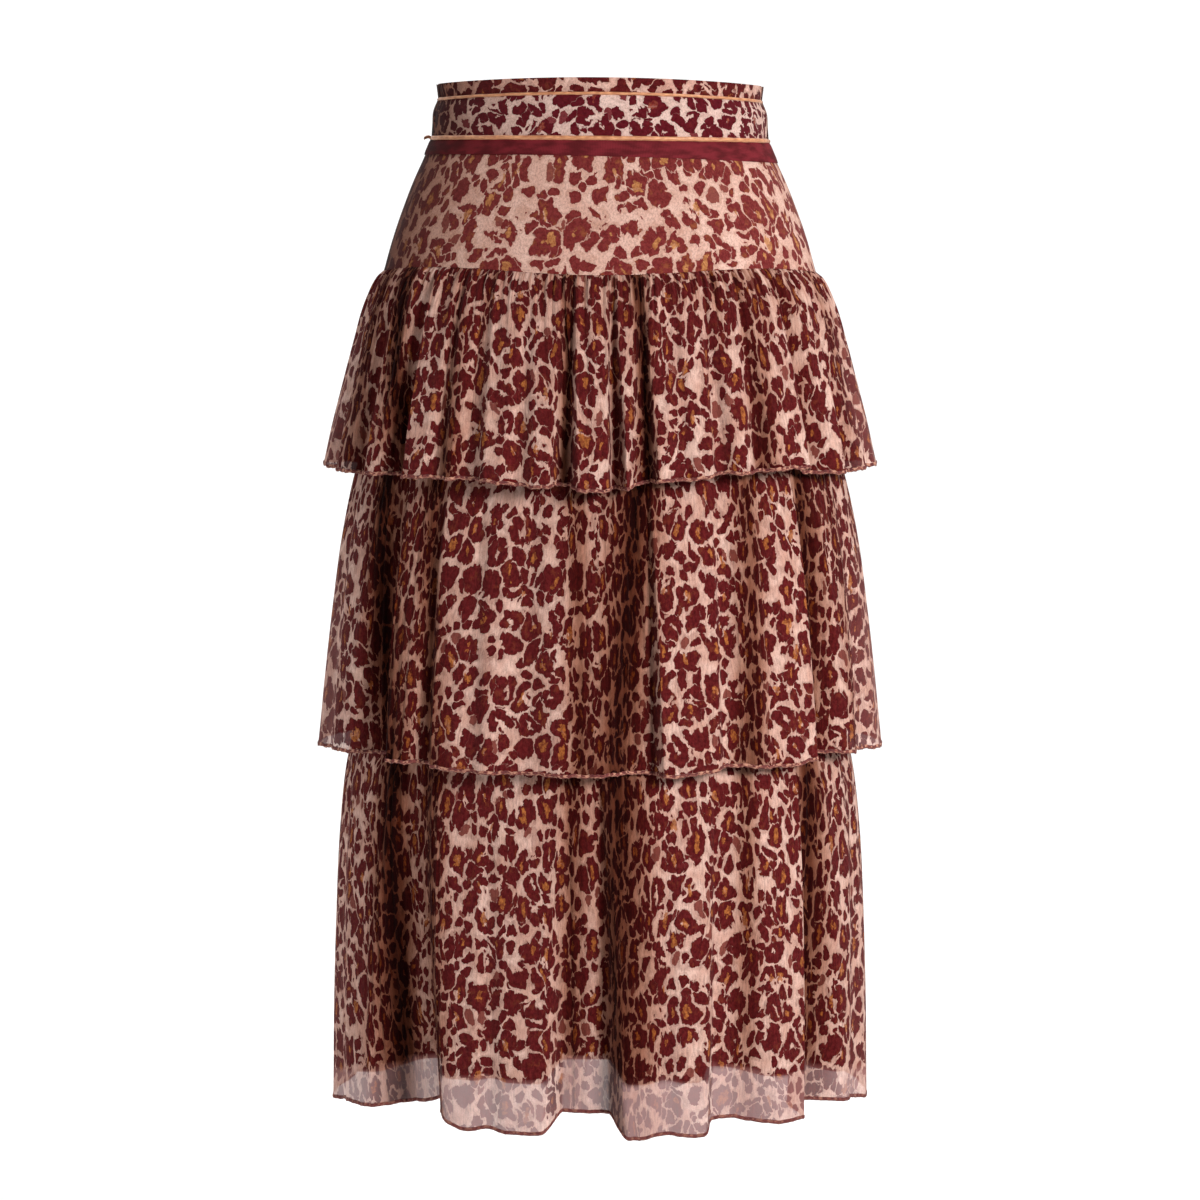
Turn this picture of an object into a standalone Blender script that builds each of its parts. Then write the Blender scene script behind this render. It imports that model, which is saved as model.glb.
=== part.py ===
"""A tiered ruffle midi skirt, filled out as when it is worn.

Each piece that a maker cuts and sews on is one object. The cloth is a wall, laid through rings round
the figure: an angle of 0 is the centre front (-Y), 90 is the wearer's left side seam (+X) and 180 is
the centre back. Sizes are in millimetres, heights are counted from the middle of the waistband, which
is where the figure holds the skirt, and the meshes are made in metres.
"""

import math
from collections import namedtuple

import bmesh
import bpy
from mathutils import Vector

MM = 0.001
SEAM_GAP = 0.3

# Walls
CHIFFON_WALL = 1.2
LINING_WALL = 1.0
BAND_WALL = 2.0
RIBBON_WALL = 1.0
UPPER_PIPING_RADIUS = 1.2
LOWER_PIPING_RADIUS = 1.6

# Panels meet at the side seams, at 90 degrees each side
PANELS = {"front": (-90.0, 90.0), "back": (90.0, 270.0)}
PLAIN_COLUMNS = 24

# Gathers: how many each panel has along its seam, and how far they stand out
RUFFLE_GATHERS = 48
RUFFLE_GATHER_HEIGHT = 2.6
ELASTIC_GATHERS = 20
ELASTIC_GATHER_HEIGHT = 2.0

# Levels of the seams and edges. side: height at the side seams. rise: how much higher the centre is.
# lean: how much lower the wearer's left side hangs than the middle. lift: how far the edge is drawn
# up between the centre and the sides.
Level = namedtuple("Level", "side rise lean lift")
HEADING_TOP = Level(side=20.2, rise=4.2, lean=0.9, lift=0.0)
UPPER_SEAM = Level(side=8.3, rise=4.0, lean=1.0, lift=0.0)
LOWER_SEAM = Level(side=-22.0, rise=0.3, lean=1.2, lift=0.0)
RIBBON_FOOT = Level(side=-37.0, rise=1.7, lean=3.3, lift=0.0)
YOKE_SEAM = Level(side=-124.5, rise=-0.8, lean=0.8, lift=4.5)
LINING_TOP = Level(side=-110.0, rise=0.0, lean=0.0, lift=0.0)
LINING_SEWN_DOWN = Level(side=-475.0, rise=0.0, lean=0.0, lift=0.0)
LINING_HEM = Level(side=-739.0, rise=-4.0, lean=0.0, lift=8.0)
TIER_2_TOP = Level(side=-255.0, rise=-4.0, lean=0.0, lift=0.0)
TIER_3_TOP = Level(side=-475.0, rise=0.0, lean=0.0, lift=0.0)

# Hem levels of the tiers, by angle across the front. The back panel is cut alike.
HemPoint = namedtuple("HemPoint", "angle height")
TIER_1_HEM = [
    HemPoint(-90, -275), HemPoint(-60, -278), HemPoint(-30, -279), HemPoint(-10, -284), HemPoint(2, -287),
    HemPoint(16, -279), HemPoint(28, -275), HemPoint(46, -272), HemPoint(52, -278), HemPoint(90, -275),
]
TIER_2_HEM = [
    HemPoint(-90, -497), HemPoint(-63, -494), HemPoint(-40, -497), HemPoint(-26, -501), HemPoint(14, -503),
    HemPoint(26, -498), HemPoint(42, -499), HemPoint(50, -494), HemPoint(90, -497),
]
TIER_3_HEM = [
    HemPoint(-90, -781), HemPoint(-60, -769), HemPoint(-22, -777), HemPoint(14, -779), HemPoint(42, -778),
    HemPoint(62, -769), HemPoint(90, -781),
]

# Outer form of each piece, top to bottom. share: how far down the piece. side, front and back: half
# the width at the side seams, and how far the wall stands before and behind them.
Section = namedtuple("Section", "share side front back")
HEADING = [Section(0.0, 127.2, 92.2, 92.2), Section(1.0, 125.8, 91.0, 91.0)]
WAISTBAND = [
    Section(0.00, 126.2, 91.3, 91.3), Section(0.30, 129.8, 94.2, 94.4),
    Section(0.65, 130.6, 94.9, 95.4), Section(1.00, 131.3, 95.3, 96.2),
]
YOKE = [
    Section(0.00, 131.3, 95.3, 96.2), Section(0.145, 137.6, 99.8, 101.4), Section(0.33, 146.2, 106.0, 109.0),
    Section(0.52, 153.8, 111.5, 117.0), Section(0.76, 162.4, 118.2, 125.3), Section(1.00, 169.3, 123.5, 132.5),
]
LINING = [
    Section(0.000, 163.6, 117.8, 126.5), Section(0.0402, 167.8, 122.0, 131.0), Section(0.18, 175.5, 130.5, 140.0),
    Section(0.397, 183.0, 138.0, 148.0), Section(0.70, 187.6, 143.0, 152.6), Section(1.00, 190.2, 146.0, 155.5),
]
LINING_SKIRT = [
    Section(0.00, 190.2, 146.0, 155.5), Section(0.32, 198.6, 154.6, 164.0),
    Section(0.66, 203.6, 160.0, 169.0), Section(1.00, 206.0, 163.5, 171.5),
]
TIER_1 = [
    Section(0.000, 169.3, 123.5, 132.5), Section(0.047, 173.8, 128.0, 137.2), Section(0.150, 182.4, 137.5, 147.0),
    Section(0.370, 192.9, 148.5, 158.5), Section(0.600, 202.6, 158.0, 168.0), Section(0.820, 211.2, 166.5, 176.0),
    Section(1.000, 217.2, 171.5, 181.0),
]
TIER_2 = [
    Section(0.00, 184.5, 139.5, 149.5), Section(0.14, 193.9, 149.0, 159.0), Section(0.33, 203.4, 158.0, 168.0),
    Section(0.54, 210.7, 165.0, 174.5), Section(0.77, 217.2, 171.0, 180.0), Section(1.00, 222.8, 176.0, 185.0),
]
TIER_3 = [
    Section(0.00, 191.7, 147.5, 157.0), Section(0.12, 199.8, 156.0, 165.0), Section(0.29, 205.6, 162.0, 171.0),
    Section(0.50, 209.2, 166.0, 174.5), Section(0.75, 211.6, 169.0, 177.0), Section(1.00, 212.5, 171.0, 178.5),
]

# Folds: troughs that open below the gathers and are deepest at the hem. angle: the middle of the
# trough. floor: half its flat width, and left and right the width of its flanks, in degrees at the hem.
# depth: how far it is drawn in there.
Fold = namedtuple("Fold", "angle floor left right depth")
TIER_1_FOLDS = [
    Fold(-75, 0.5, 5, 5, 6), Fold(-60, 0.5, 5, 4, 7), Fold(-46.5, 1, 7, 2.5, 13), Fold(-36, 0.5, 3.5, 3.5, 4),
    Fold(-28, 1, 4, 4, 7), Fold(-17, 0.5, 3.5, 3.5, 4), Fold(-7.5, 1.2, 3, 3, 13), Fold(2.6, 0.6, 1.8, 3, 14),
    Fold(9.6, 1, 4, 2.2, 12), Fold(17, 0.5, 3, 3, 3), Fold(25.5, 0.5, 3, 4, 7), Fold(35, 0.5, 4, 4, 6),
    Fold(50, 1, 2.5, 8, 13), Fold(64, 0.5, 4, 5, 6), Fold(77, 0.5, 5, 5, 6),
]
TIER_2_FOLDS = [
    Fold(-76, 1, 7, 7, 5), Fold(-51, 1.5, 12, 3, 16), Fold(-38, 0.5, 5, 3, 7), Fold(-27, 0.5, 4, 4, 3),
    Fold(-16, 1, 7, 7, 5), Fold(-3, 0.5, 5, 5, 3), Fold(9.5, 2, 9, 2.5, 14), Fold(27, 1, 3, 7, 8),
    Fold(38, 0.5, 4, 4, 3), Fold(51, 1, 2.5, 11, 15), Fold(70, 1, 7, 8, 7),
]
TIER_3_FOLDS = [
    Fold(-76, 1, 7, 7, 4), Fold(-47, 3, 11, 8, 22), Fold(-24, 0.5, 4, 4, 3), Fold(-3.3, 5.5, 5, 5, 19),
    Fold(14, 0.5, 4, 4, 3), Fold(27, 1.5, 4.5, 14, 13), Fold(51, 1.5, 3, 13, 20), Fold(74, 1, 7, 7, 5),
]
SHORT_TIER_FLANK_COLUMNS = (0.0, 0.5, 1.0)
TIER_3_FLANK_COLUMNS = (0.0, 0.35, 0.65, 1.0)
LINING_FLANK_COLUMNS = (0.0, 1.0)
FOLD_WIDTH_AT_TOP = 0.45
FOLD_GROWTH = 0.8
SLOPE_STEP = 0.25
CLOSEST_COLUMNS = 0.7
WIDEST_COLUMNS = 7.6
BACK_TURN = 183.0
BACK_SPACING = 0.97
BACK_DEPTH = 0.92
TIER_3_HEM_LIFT = 0.7
SHORT_TIER_HEM_LIFT = 0.12

# Colour, roughness
FINISHES = {
    "print_chiffon": ((0.42, 0.16, 0.15, 1.0), 0.75),
    "contrast_print": ((0.55, 0.25, 0.27, 1.0), 0.7),
    "copper_satin": ((0.60, 0.26, 0.12, 1.0), 0.35),
    "burgundy_ribbon": ((0.14, 0.02, 0.035, 1.0), 0.45),
    "lining": ((0.36, 0.17, 0.12, 1.0), 0.8),
}


def smooth(share):
    """0 to 1 with a level start and end."""
    share = min(max(share, 0.0), 1.0)
    return share * share * (3 - 2 * share)


def mix(a, b, share):
    return a + (b - a) * share


def level_height(level, angle):
    """Height of a seam or edge at an angle."""
    turn = math.radians(angle)
    height = level.side + level.rise * math.cos(turn) ** 2 - level.lean * math.sin(turn)
    return height + level.lift * math.sin(2 * turn) ** 2


def hem_height(points, angle):
    """Height of a tier's hem. The back panel mirrors the front one."""
    front = 180 - angle if angle > 90 else angle
    for a, b in zip(points, points[1:]):
        if front <= b.angle:
            return mix(a.height, b.height, smooth((front - a.angle) / (b.angle - a.angle)))
    return points[-1].height


def all_round(folds):
    """The front folds with those of the back panel, which hangs alike but not quite the same."""
    behind = [f._replace(angle=BACK_TURN + f.angle * BACK_SPACING, depth=f.depth * BACK_DEPTH) for f in folds]
    return folds + behind


def fold_width(share):
    """Flank width at a share of the way down, as a part of that at the hem."""
    return mix(FOLD_WIDTH_AT_TOP, 1.0, share)


def from_fold(fold, angle):
    """Degrees from a fold's middle to an angle, the short way round."""
    return (angle - fold.angle + 180) % 360 - 180


def trough(folds, angle, share):
    """How far the folds draw the wall in at an angle, a share of the way down."""
    drawn = 0.0
    for fold in folds:
        off = from_fold(fold, angle) / fold_width(share)
        flank = fold.left if off < 0 else fold.right
        drawn += fold.depth * (1 - smooth((abs(off) - fold.floor) / flank))
    return drawn * share**FOLD_GROWTH


def ring_at(sections, share):
    """Half width, depth before and depth behind, a share of the way down."""
    for a, b in zip(sections, sections[1:]):
        if share <= b.share:
            part = (share - a.share) / (b.share - a.share)
            return tuple(mix(x, y, part) for x, y in zip(a[1:], b[1:]))
    return sections[-1][1:]


def on_ring(ring, angle, out):
    """Plan point of a ring at an angle, moved out along the ring's own normal."""
    side, front, back = ring
    turn = math.radians(angle)
    depth = front if math.cos(turn) >= 0 else back
    normal = Vector((math.sin(turn) / side, -math.cos(turn) / depth)).normalized()
    return Vector((side * math.sin(turn), -depth * math.cos(turn))) + normal * out


def wall_points(ring, out_at, height_at, angle, wall):
    """Outer and inner point of a wall. The inner one is square to the wavy line that the wall follows."""
    before = on_ring(ring, angle - SLOPE_STEP, out_at(angle - SLOPE_STEP))
    after = on_ring(ring, angle + SLOPE_STEP, out_at(angle + SLOPE_STEP))
    along = (after - before).normalized()
    outward = Vector((along.y, -along.x))
    plan = on_ring(ring, angle, out_at(angle))
    inner = plan - outward * wall
    height = height_at(angle)
    return Vector((*plan, height)) * MM, Vector((*inner, height)) * MM


def panel_angles(panel, ring, between):
    """Angles across a panel, its ends drawn back from the side seam by half the seam's gap."""
    start, end = PANELS[panel]
    depth = min(ring[1:])
    inset = math.degrees(SEAM_GAP / 2 / depth)
    inside = sorted(a for a in between if start + CLOSEST_COLUMNS < a < end - CLOSEST_COLUMNS)
    angles = [start + inset]
    for angle in [*inside, end - inset]:
        gap = angle - angles[-1]
        if gap < CLOSEST_COLUMNS and angle != end - inset:
            continue
        fill = math.ceil(gap / WIDEST_COLUMNS)
        first = angles[-1]
        angles += [mix(first, angle, (i + 1) / fill) for i in range(fill)]
    return angles


def even_angles(panel, count):
    start, end = PANELS[panel]
    return [mix(start, end, i / count) for i in range(1, count)]


def fold_angles(folds, share, columns):
    """Where a row needs columns to follow the folds. columns are shares of a flank's width."""
    width = fold_width(share)
    found = []
    for fold in folds:
        for column in columns:
            to_left = fold.angle - (fold.floor + column * fold.left) * width
            to_right = fold.angle + (fold.floor + column * fold.right) * width
            found += [angle + turn for angle in (to_left, to_right) for turn in (-360, 0, 360)]
    return found


def gather_out(angle, panel, count, height):
    """Ridges of the gathers: out at odd half steps, level with the ring between them."""
    start, end = PANELS[panel]
    half_steps = (angle - start) / (end - start) * count * 2
    zigzag = 1 - abs(half_steps % 2 - 1)
    unevenness = 0.78 + 0.22 * math.sin(2.1 * math.floor(half_steps / 2))
    return height * unevenness * zigzag


def stitch(bm, upper, lower):
    """Triangles between two rows of (angle, vertex), which may differ in number."""
    i = j = 0
    while i < len(upper) - 1 or j < len(lower) - 1:
        upper_next = upper[i + 1][0] if i < len(upper) - 1 else math.inf
        lower_next = lower[j + 1][0] if j < len(lower) - 1 else math.inf
        if upper_next < lower_next:
            bm.faces.new((upper[i][1], lower[j][1], upper[i + 1][1]))
            i += 1
        else:
            bm.faces.new((upper[i][1], lower[j][1], lower[j + 1][1]))
            j += 1


def add_object(name, data, finish):
    colour, roughness = FINISHES[finish]
    material = bpy.data.materials.get(finish) or bpy.data.materials.new(finish)
    material.use_nodes = True
    shader = material.node_tree.nodes["Principled BSDF"]
    shader.inputs["Base Color"].default_value = colour
    shader.inputs["Roughness"].default_value = roughness
    data.materials.append(material)
    made = bpy.data.objects.new(name, data)
    bpy.context.scene.collection.objects.link(made)
    return made


def cloth_wall(name, rows, finish):
    """One closed wall. rows run top to bottom, each a list of (angle, outer point, inner point)."""
    bm = bmesh.new()
    outer = [[(angle, bm.verts.new(out)) for angle, out, _ in row] for row in rows]
    inner = [[(angle, bm.verts.new(back)) for angle, _, back in row] for row in rows]
    for upper, lower in zip(outer, outer[1:]):
        stitch(bm, upper, lower)
    for upper, lower in zip(inner, inner[1:]):
        stitch(bm, lower, upper)
    stitch(bm, inner[0], outer[0])
    stitch(bm, outer[-1], inner[-1])
    for end in (0, -1):
        edge = [(i, row[end][1]) for i, row in enumerate(outer)]
        back_edge = [(i, row[end][1]) for i, row in enumerate(inner)]
        if end:
            edge, back_edge = back_edge, edge
        stitch(bm, edge, back_edge)
    bmesh.ops.recalc_face_normals(bm, faces=bm.faces)
    mesh = bpy.data.meshes.new(name)
    bm.to_mesh(mesh)
    bm.free()
    mesh.shade_smooth()
    mesh.set_sharp_from_angle(angle=math.radians(50))
    return add_object(name, mesh, finish)


def plain_panel(name, panel, sections, top_at, foot_at, wall, finish):
    """A panel with no folds, between two levels."""
    rows = []
    for section in sections:
        ring = section[1:]
        row = []
        for angle in panel_angles(panel, ring, even_angles(panel, PLAIN_COLUMNS)):
            def height_at(a, share=section.share):
                return mix(top_at(a), foot_at(a), share)
            row.append((angle, *wall_points(ring, lambda a: 0.0, height_at, angle, wall)))
        rows.append(row)
    return cloth_wall(name, rows, finish)


def ribbon(name, panel):
    """The ribbon lies on the yoke: each of its points is one of the yoke's, moved out."""
    rows = []
    lower = level(LOWER_SEAM)
    yoke_foot = level(YOKE_SEAM)
    tops = level(LOWER_SEAM, LOWER_PIPING_RADIUS + SEAM_GAP)
    for edge_at in (tops, level(RIBBON_FOOT)):
        row = []
        for angle in panel_angles(panel, YOKE[0][1:], even_angles(panel, PLAIN_COLUMNS)):
            down = (lower(angle) - edge_at(angle)) / (lower(angle) - yoke_foot(angle))
            ring = ring_at(YOKE, down)
            row.append((angle, *wall_points(ring, lambda a: SEAM_GAP + RIBBON_WALL, edge_at, angle, RIBBON_WALL)))
        rows.append(row)
    return cloth_wall(name, rows, "burgundy_ribbon")


def level(named, drop=0.0):
    """A height function for a level, moved down by drop."""
    return lambda angle: level_height(named, angle) - drop


def gathered_panel(name, sections, top_at, foot_at, wall, finish, heights):
    """The elasticated back of the waist: ridges of the given height at each section."""
    rows = []
    for section, height in zip(sections, heights):
        ring = section[1:]
        row = []
        for angle in panel_angles("back", ring, even_angles("back", ELASTIC_GATHERS * 2)):
            upright = mix(top_at(angle), foot_at(angle), section.share)
            out = gather_out(angle, "back", ELASTIC_GATHERS, height)
            plan = on_ring(ring, angle, out)
            inner = on_ring(ring, angle, out - wall)
            row.append((angle, Vector((*plan, upright)) * MM, Vector((*inner, upright)) * MM))
        rows.append(row)
    return cloth_wall(name, rows, finish)


def tier_panel(name, panel, sections, folds, top_at, hem_at, lift, columns, wall, finish, gathers=None):
    """One panel of a ruffle or of the lining's skirt. gathers gives the ridge height of its first rows."""
    rows = []
    for index, section in enumerate(sections):
        ring = section[1:]
        share = section.share
        ridge = gathers[index] if gathers and index < len(gathers) else 0.0

        def out_at(angle, share=share):
            return -trough(folds, angle, share)

        def height_at(angle, share=share):
            hem = hem_at(angle) + lift * trough(folds, angle, 1.0)
            return mix(top_at(angle), hem, share)

        if ridge:
            between = even_angles(panel, RUFFLE_GATHERS * 2)
        elif share:
            between = fold_angles(folds, share, columns)
        else:
            between = even_angles(panel, PLAIN_COLUMNS)
        row = []
        for angle in panel_angles(panel, ring, between):
            outer, inner = wall_points(ring, out_at, height_at, angle, wall)
            if ridge:
                stand = gather_out(angle, panel, RUFFLE_GATHERS, ridge)
                push = on_ring(ring, angle, stand) - on_ring(ring, angle, 0.0)
                push = Vector((*push, 0.0)) * MM
                outer += push
                inner += push
            row.append((angle, outer, inner))
        rows.append(row)
    return cloth_wall(name, rows, finish)


def lining_panel(name, panel, folds):
    """The slip under the ruffles: close at the hip, then in folds along with the lowest ruffle."""
    rows = []
    plain = even_angles(panel, PLAIN_COLUMNS)
    sewn = level(LINING_SEWN_DOWN)
    for section in LINING[:-1]:
        ring = section[1:]
        row = []
        for angle in panel_angles(panel, ring, plain):
            def height_at(a, share=section.share):
                return mix(level_height(LINING_TOP, a), sewn(a), share)
            row.append((angle, *wall_points(ring, lambda a: 0.0, height_at, angle, LINING_WALL)))
        rows.append(row)
    tier_drop = TIER_3_TOP.side - TIER_3_HEM[0].height
    lining_drop = LINING_SEWN_DOWN.side - LINING_HEM.side
    for section in LINING_SKIRT:
        ring = section[1:]
        share = section.share * lining_drop / tier_drop

        def out_at(angle, share=share):
            return -trough(folds, angle, share)

        def height_at(angle, section=section, share=share):
            hem = level_height(LINING_HEM, angle) + TIER_3_HEM_LIFT * trough(folds, angle, share)
            return mix(sewn(angle), hem, section.share)

        between = fold_angles(folds, share, LINING_FLANK_COLUMNS) if share else plain
        row = []
        for angle in panel_angles(panel, ring, between):
            row.append((angle, *wall_points(ring, out_at, height_at, angle, LINING_WALL)))
        rows.append(row)
    return cloth_wall(name, rows, "lining")


def piping(name, panel, ring, height_at, radius, out):
    """A cord in its casing, along one panel's seam."""
    start, end = PANELS[panel]
    inset = math.degrees(SEAM_GAP / 2 / min(ring[1:]))
    curve = bpy.data.curves.new(name, "CURVE")
    curve.dimensions = "3D"
    curve.bevel_depth = radius * MM
    curve.bevel_resolution = 1
    curve.use_fill_caps = True
    spline = curve.splines.new("POLY")
    spline.points.add(PLAIN_COLUMNS)
    for i, point in enumerate(spline.points):
        angle = mix(start + inset, end - inset, i / PLAIN_COLUMNS)
        plan = on_ring(ring, angle, out + radius + SEAM_GAP)
        point.co = (*(plan * MM), height_at(angle) * MM, 1.0)
    return add_object(name, curve, "copper_satin")


def build_waist():
    upper = level(UPPER_SEAM)
    lower = level(LOWER_SEAM)
    gap = SEAM_GAP / 2
    plain_panel("heading_front", "front", HEADING, level(HEADING_TOP), lambda a: upper(a) + gap,
                CHIFFON_WALL, "print_chiffon")
    gathered_panel("heading_back", HEADING, level(HEADING_TOP), lambda a: upper(a) + gap,
                   CHIFFON_WALL, "print_chiffon", (ELASTIC_GATHER_HEIGHT, ELASTIC_GATHER_HEIGHT / 2))
    plain_panel("waistband_front", "front", WAISTBAND, level(UPPER_SEAM, gap), lambda a: lower(a) + gap,
                BAND_WALL, "contrast_print")
    gathered_panel("waistband_back", WAISTBAND, level(UPPER_SEAM, gap), lambda a: lower(a) + gap,
                   BAND_WALL, "contrast_print",
                   (ELASTIC_GATHER_HEIGHT / 2, ELASTIC_GATHER_HEIGHT, ELASTIC_GATHER_HEIGHT,
                    ELASTIC_GATHER_HEIGHT / 2))
    for panel in PANELS:
        ridge = ELASTIC_GATHER_HEIGHT / 2 if panel == "back" else 0.0
        piping(f"piping_upper_{panel}", panel, WAISTBAND[0][1:], upper, UPPER_PIPING_RADIUS, ridge)
        piping(f"piping_lower_{panel}", panel, WAISTBAND[-1][1:], lower, LOWER_PIPING_RADIUS, ridge)
        ribbon(f"ribbon_{panel}", panel)


def build_yoke():
    for panel in PANELS:
        plain_panel(f"yoke_{panel}", panel, YOKE, level(LOWER_SEAM, SEAM_GAP / 2), level(YOKE_SEAM),
                    CHIFFON_WALL, "print_chiffon")


def build_tiers():
    folds_1 = all_round(TIER_1_FOLDS)
    folds_2 = all_round(TIER_2_FOLDS)
    folds_3 = all_round(TIER_3_FOLDS)
    gathers = (RUFFLE_GATHER_HEIGHT * 0.6, RUFFLE_GATHER_HEIGHT)
    for panel in PANELS:
        lining_panel(f"lining_{panel}", panel, folds_3)
        tier_panel(f"tier1_{panel}", panel, TIER_1, folds_1, level(YOKE_SEAM, SEAM_GAP),
                   lambda a: hem_height(TIER_1_HEM, a), SHORT_TIER_HEM_LIFT, SHORT_TIER_FLANK_COLUMNS,
                   CHIFFON_WALL, "print_chiffon", gathers)
        tier_panel(f"tier2_{panel}", panel, TIER_2, folds_2, level(TIER_2_TOP),
                   lambda a: hem_height(TIER_2_HEM, a), SHORT_TIER_HEM_LIFT, SHORT_TIER_FLANK_COLUMNS,
                   CHIFFON_WALL, "print_chiffon")
        tier_panel(f"tier3_{panel}", panel, TIER_3, folds_3, level(TIER_3_TOP),
                   lambda a: hem_height(TIER_3_HEM, a), TIER_3_HEM_LIFT, TIER_3_FLANK_COLUMNS,
                   CHIFFON_WALL, "print_chiffon")


def main():
    for old in list(bpy.data.objects):
        bpy.data.objects.remove(old)
    build_waist()
    build_yoke()
    build_tiers()


main()
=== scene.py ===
# %% [markdown]
# # A tiered ruffle skirt
# The skirt has a smooth hip yoke, a contrast waistband edged with two satin pipings, a plain ribbon and
# three gathered ruffles that overlap like tiles. We dress the plain CAD solids: every solid gets a fine
# cloth laid on the same form. Lengths are in millimetres in the tables, and turn into metres when a
# mesh is made.

import math
from collections import namedtuple

import bpy
import numpy as np
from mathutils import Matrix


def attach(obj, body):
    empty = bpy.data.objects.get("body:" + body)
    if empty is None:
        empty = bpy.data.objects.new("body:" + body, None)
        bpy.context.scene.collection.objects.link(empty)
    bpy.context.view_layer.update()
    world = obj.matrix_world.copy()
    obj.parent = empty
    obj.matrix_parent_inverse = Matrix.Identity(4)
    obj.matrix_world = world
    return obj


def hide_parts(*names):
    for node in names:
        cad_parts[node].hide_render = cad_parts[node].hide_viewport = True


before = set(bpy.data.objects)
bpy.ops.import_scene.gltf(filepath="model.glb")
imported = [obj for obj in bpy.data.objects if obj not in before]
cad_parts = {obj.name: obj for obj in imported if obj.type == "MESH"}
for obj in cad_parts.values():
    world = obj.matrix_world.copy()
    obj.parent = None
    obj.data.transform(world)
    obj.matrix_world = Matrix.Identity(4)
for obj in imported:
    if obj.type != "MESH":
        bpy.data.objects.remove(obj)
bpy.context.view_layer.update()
MM = 0.001
print("solids to dress:", len(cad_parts))

# %% [markdown]
# ## The form under the cloth
# A skirt is a stack of rings. Each ring is an oval, given by half its width at the side seams and by
# how far it stands before and behind them, a share of the way down its piece. We could model the form
# by hand, but a table of a few rings says the same and can be changed in a second. A level is the
# height of a seam or an edge: at the side seams, and how far it rises at the centres, leans over to one
# side and lifts in between.

# %% Rings and levels
Section = namedtuple("Section", "share side front back")
Level = namedtuple("Level", "side rise lean lift")

HEADING = [Section(0.0, 127.2, 92.2, 92.2), Section(1.0, 125.8, 91.0, 91.0)]
WAISTBAND = [
    Section(0.00, 126.2, 91.3, 91.3), Section(0.30, 129.8, 94.2, 94.4), Section(0.65, 130.6, 94.9, 95.4),
    Section(1.00, 131.3, 95.3, 96.2),
]
YOKE = [
    Section(0.00, 131.3, 95.3, 96.2), Section(0.145, 137.6, 99.8, 101.4),
    Section(0.33, 146.2, 106.0, 109.0), Section(0.52, 153.8, 111.5, 117.0),
    Section(0.76, 162.4, 118.2, 125.3), Section(1.00, 169.3, 123.5, 132.5),
]
LINING = [
    Section(0.000, 163.6, 117.8, 126.5), Section(0.023, 167.8, 122.0, 131.0),
    Section(0.105, 175.5, 130.5, 140.0), Section(0.230, 183.0, 138.0, 148.0),
    Section(0.406, 187.6, 143.0, 152.6), Section(0.580, 190.2, 146.0, 155.5),
    Section(0.715, 198.6, 154.6, 164.0), Section(0.857, 203.6, 160.0, 169.0),
    Section(1.000, 206.0, 163.5, 171.5),
]
RUFFLE_1 = [
    Section(0.000, 169.3, 123.5, 132.5), Section(0.047, 174.6, 128.8, 138.0),
    Section(0.150, 182.4, 137.5, 147.0), Section(0.370, 192.9, 148.5, 158.5),
    Section(0.600, 202.6, 158.0, 168.0), Section(0.820, 211.2, 166.5, 176.0),
    Section(1.000, 217.2, 171.5, 181.0),
]
RUFFLE_2 = [
    Section(0.00, 184.5, 139.5, 149.5), Section(0.14, 193.9, 149.0, 159.0),
    Section(0.33, 203.4, 158.0, 168.0), Section(0.54, 210.7, 165.0, 174.5),
    Section(0.77, 217.2, 171.0, 180.0), Section(1.00, 222.8, 176.0, 185.0),
]
RUFFLE_3 = [
    Section(0.00, 191.7, 147.5, 157.0), Section(0.12, 199.8, 156.0, 165.0),
    Section(0.29, 205.6, 162.0, 171.0), Section(0.50, 209.2, 166.0, 174.5),
    Section(0.75, 211.6, 169.0, 177.0), Section(1.00, 212.5, 171.0, 178.5),
]
HEADING_TOP = Level(20.2, 4.2, 0.9, 0.0)
UPPER_SEAM = Level(8.3, 4.0, 1.0, 0.0)
HEADING_FOOT = UPPER_SEAM._replace(side=UPPER_SEAM.side + 0.6)
LOWER_SEAM = Level(-22.0, 0.3, 1.2, 0.0)
RIBBON_TOP = LOWER_SEAM._replace(side=LOWER_SEAM.side - 1.0)
RIBBON_FOOT = Level(-37.0, 1.7, 3.3, 0.0)
YOKE_SEAM = Level(-124.5, -0.8, 0.8, 4.5)
LINING_TOP = Level(-110.0, 0.0, 0.0, 0.0)
LINING_HEM = Level(-739.0, 1.0, 0.0, 0.0)
RUFFLE_2_TOP = Level(-255.0, -4.0, 0.0, 0.0)
RUFFLE_3_TOP = Level(-475.0, 0.0, 0.0, 0.0)
PANELS = {"front": (-90.0, 90.0), "back": (90.0, 270.0)}
print("the form runs from", HEADING_TOP.side, "to", LINING_HEM.side, "mm and the ruffles go lower still")

# %% [markdown]
# ## Blends
# Nothing on cloth starts or stops with a corner, so most shapes below are blends with a soft start and
# end. We could push points about one by one, but these helpers take a whole grid of numbers at a time,
# which is short to write and takes no time to run.

# %% Blends
def smooth(x):
    """0 to 1 with a level start and end."""
    x = np.clip(x, 0.0, 1.0)
    return x * x * (3 - 2 * x)


def mix(a, b, share):
    return a + (b - a) * share


def bell(offset, width):
    """1 in the middle, falling to nothing on both sides."""
    return np.exp(-((offset / width) ** 2))


def grid(rows, columns):
    """How far down and how far across a panel each point of it lies, both 0 to 1."""
    share = np.linspace(0, 1, rows)[:, None] + np.zeros((1, columns))
    across = np.linspace(0, 1, columns)[None, :] + np.zeros((rows, 1))
    return share, across


print("a soft step at its start, middle and end:", smooth(np.array([0.0, 0.5, 1.0])))

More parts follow.
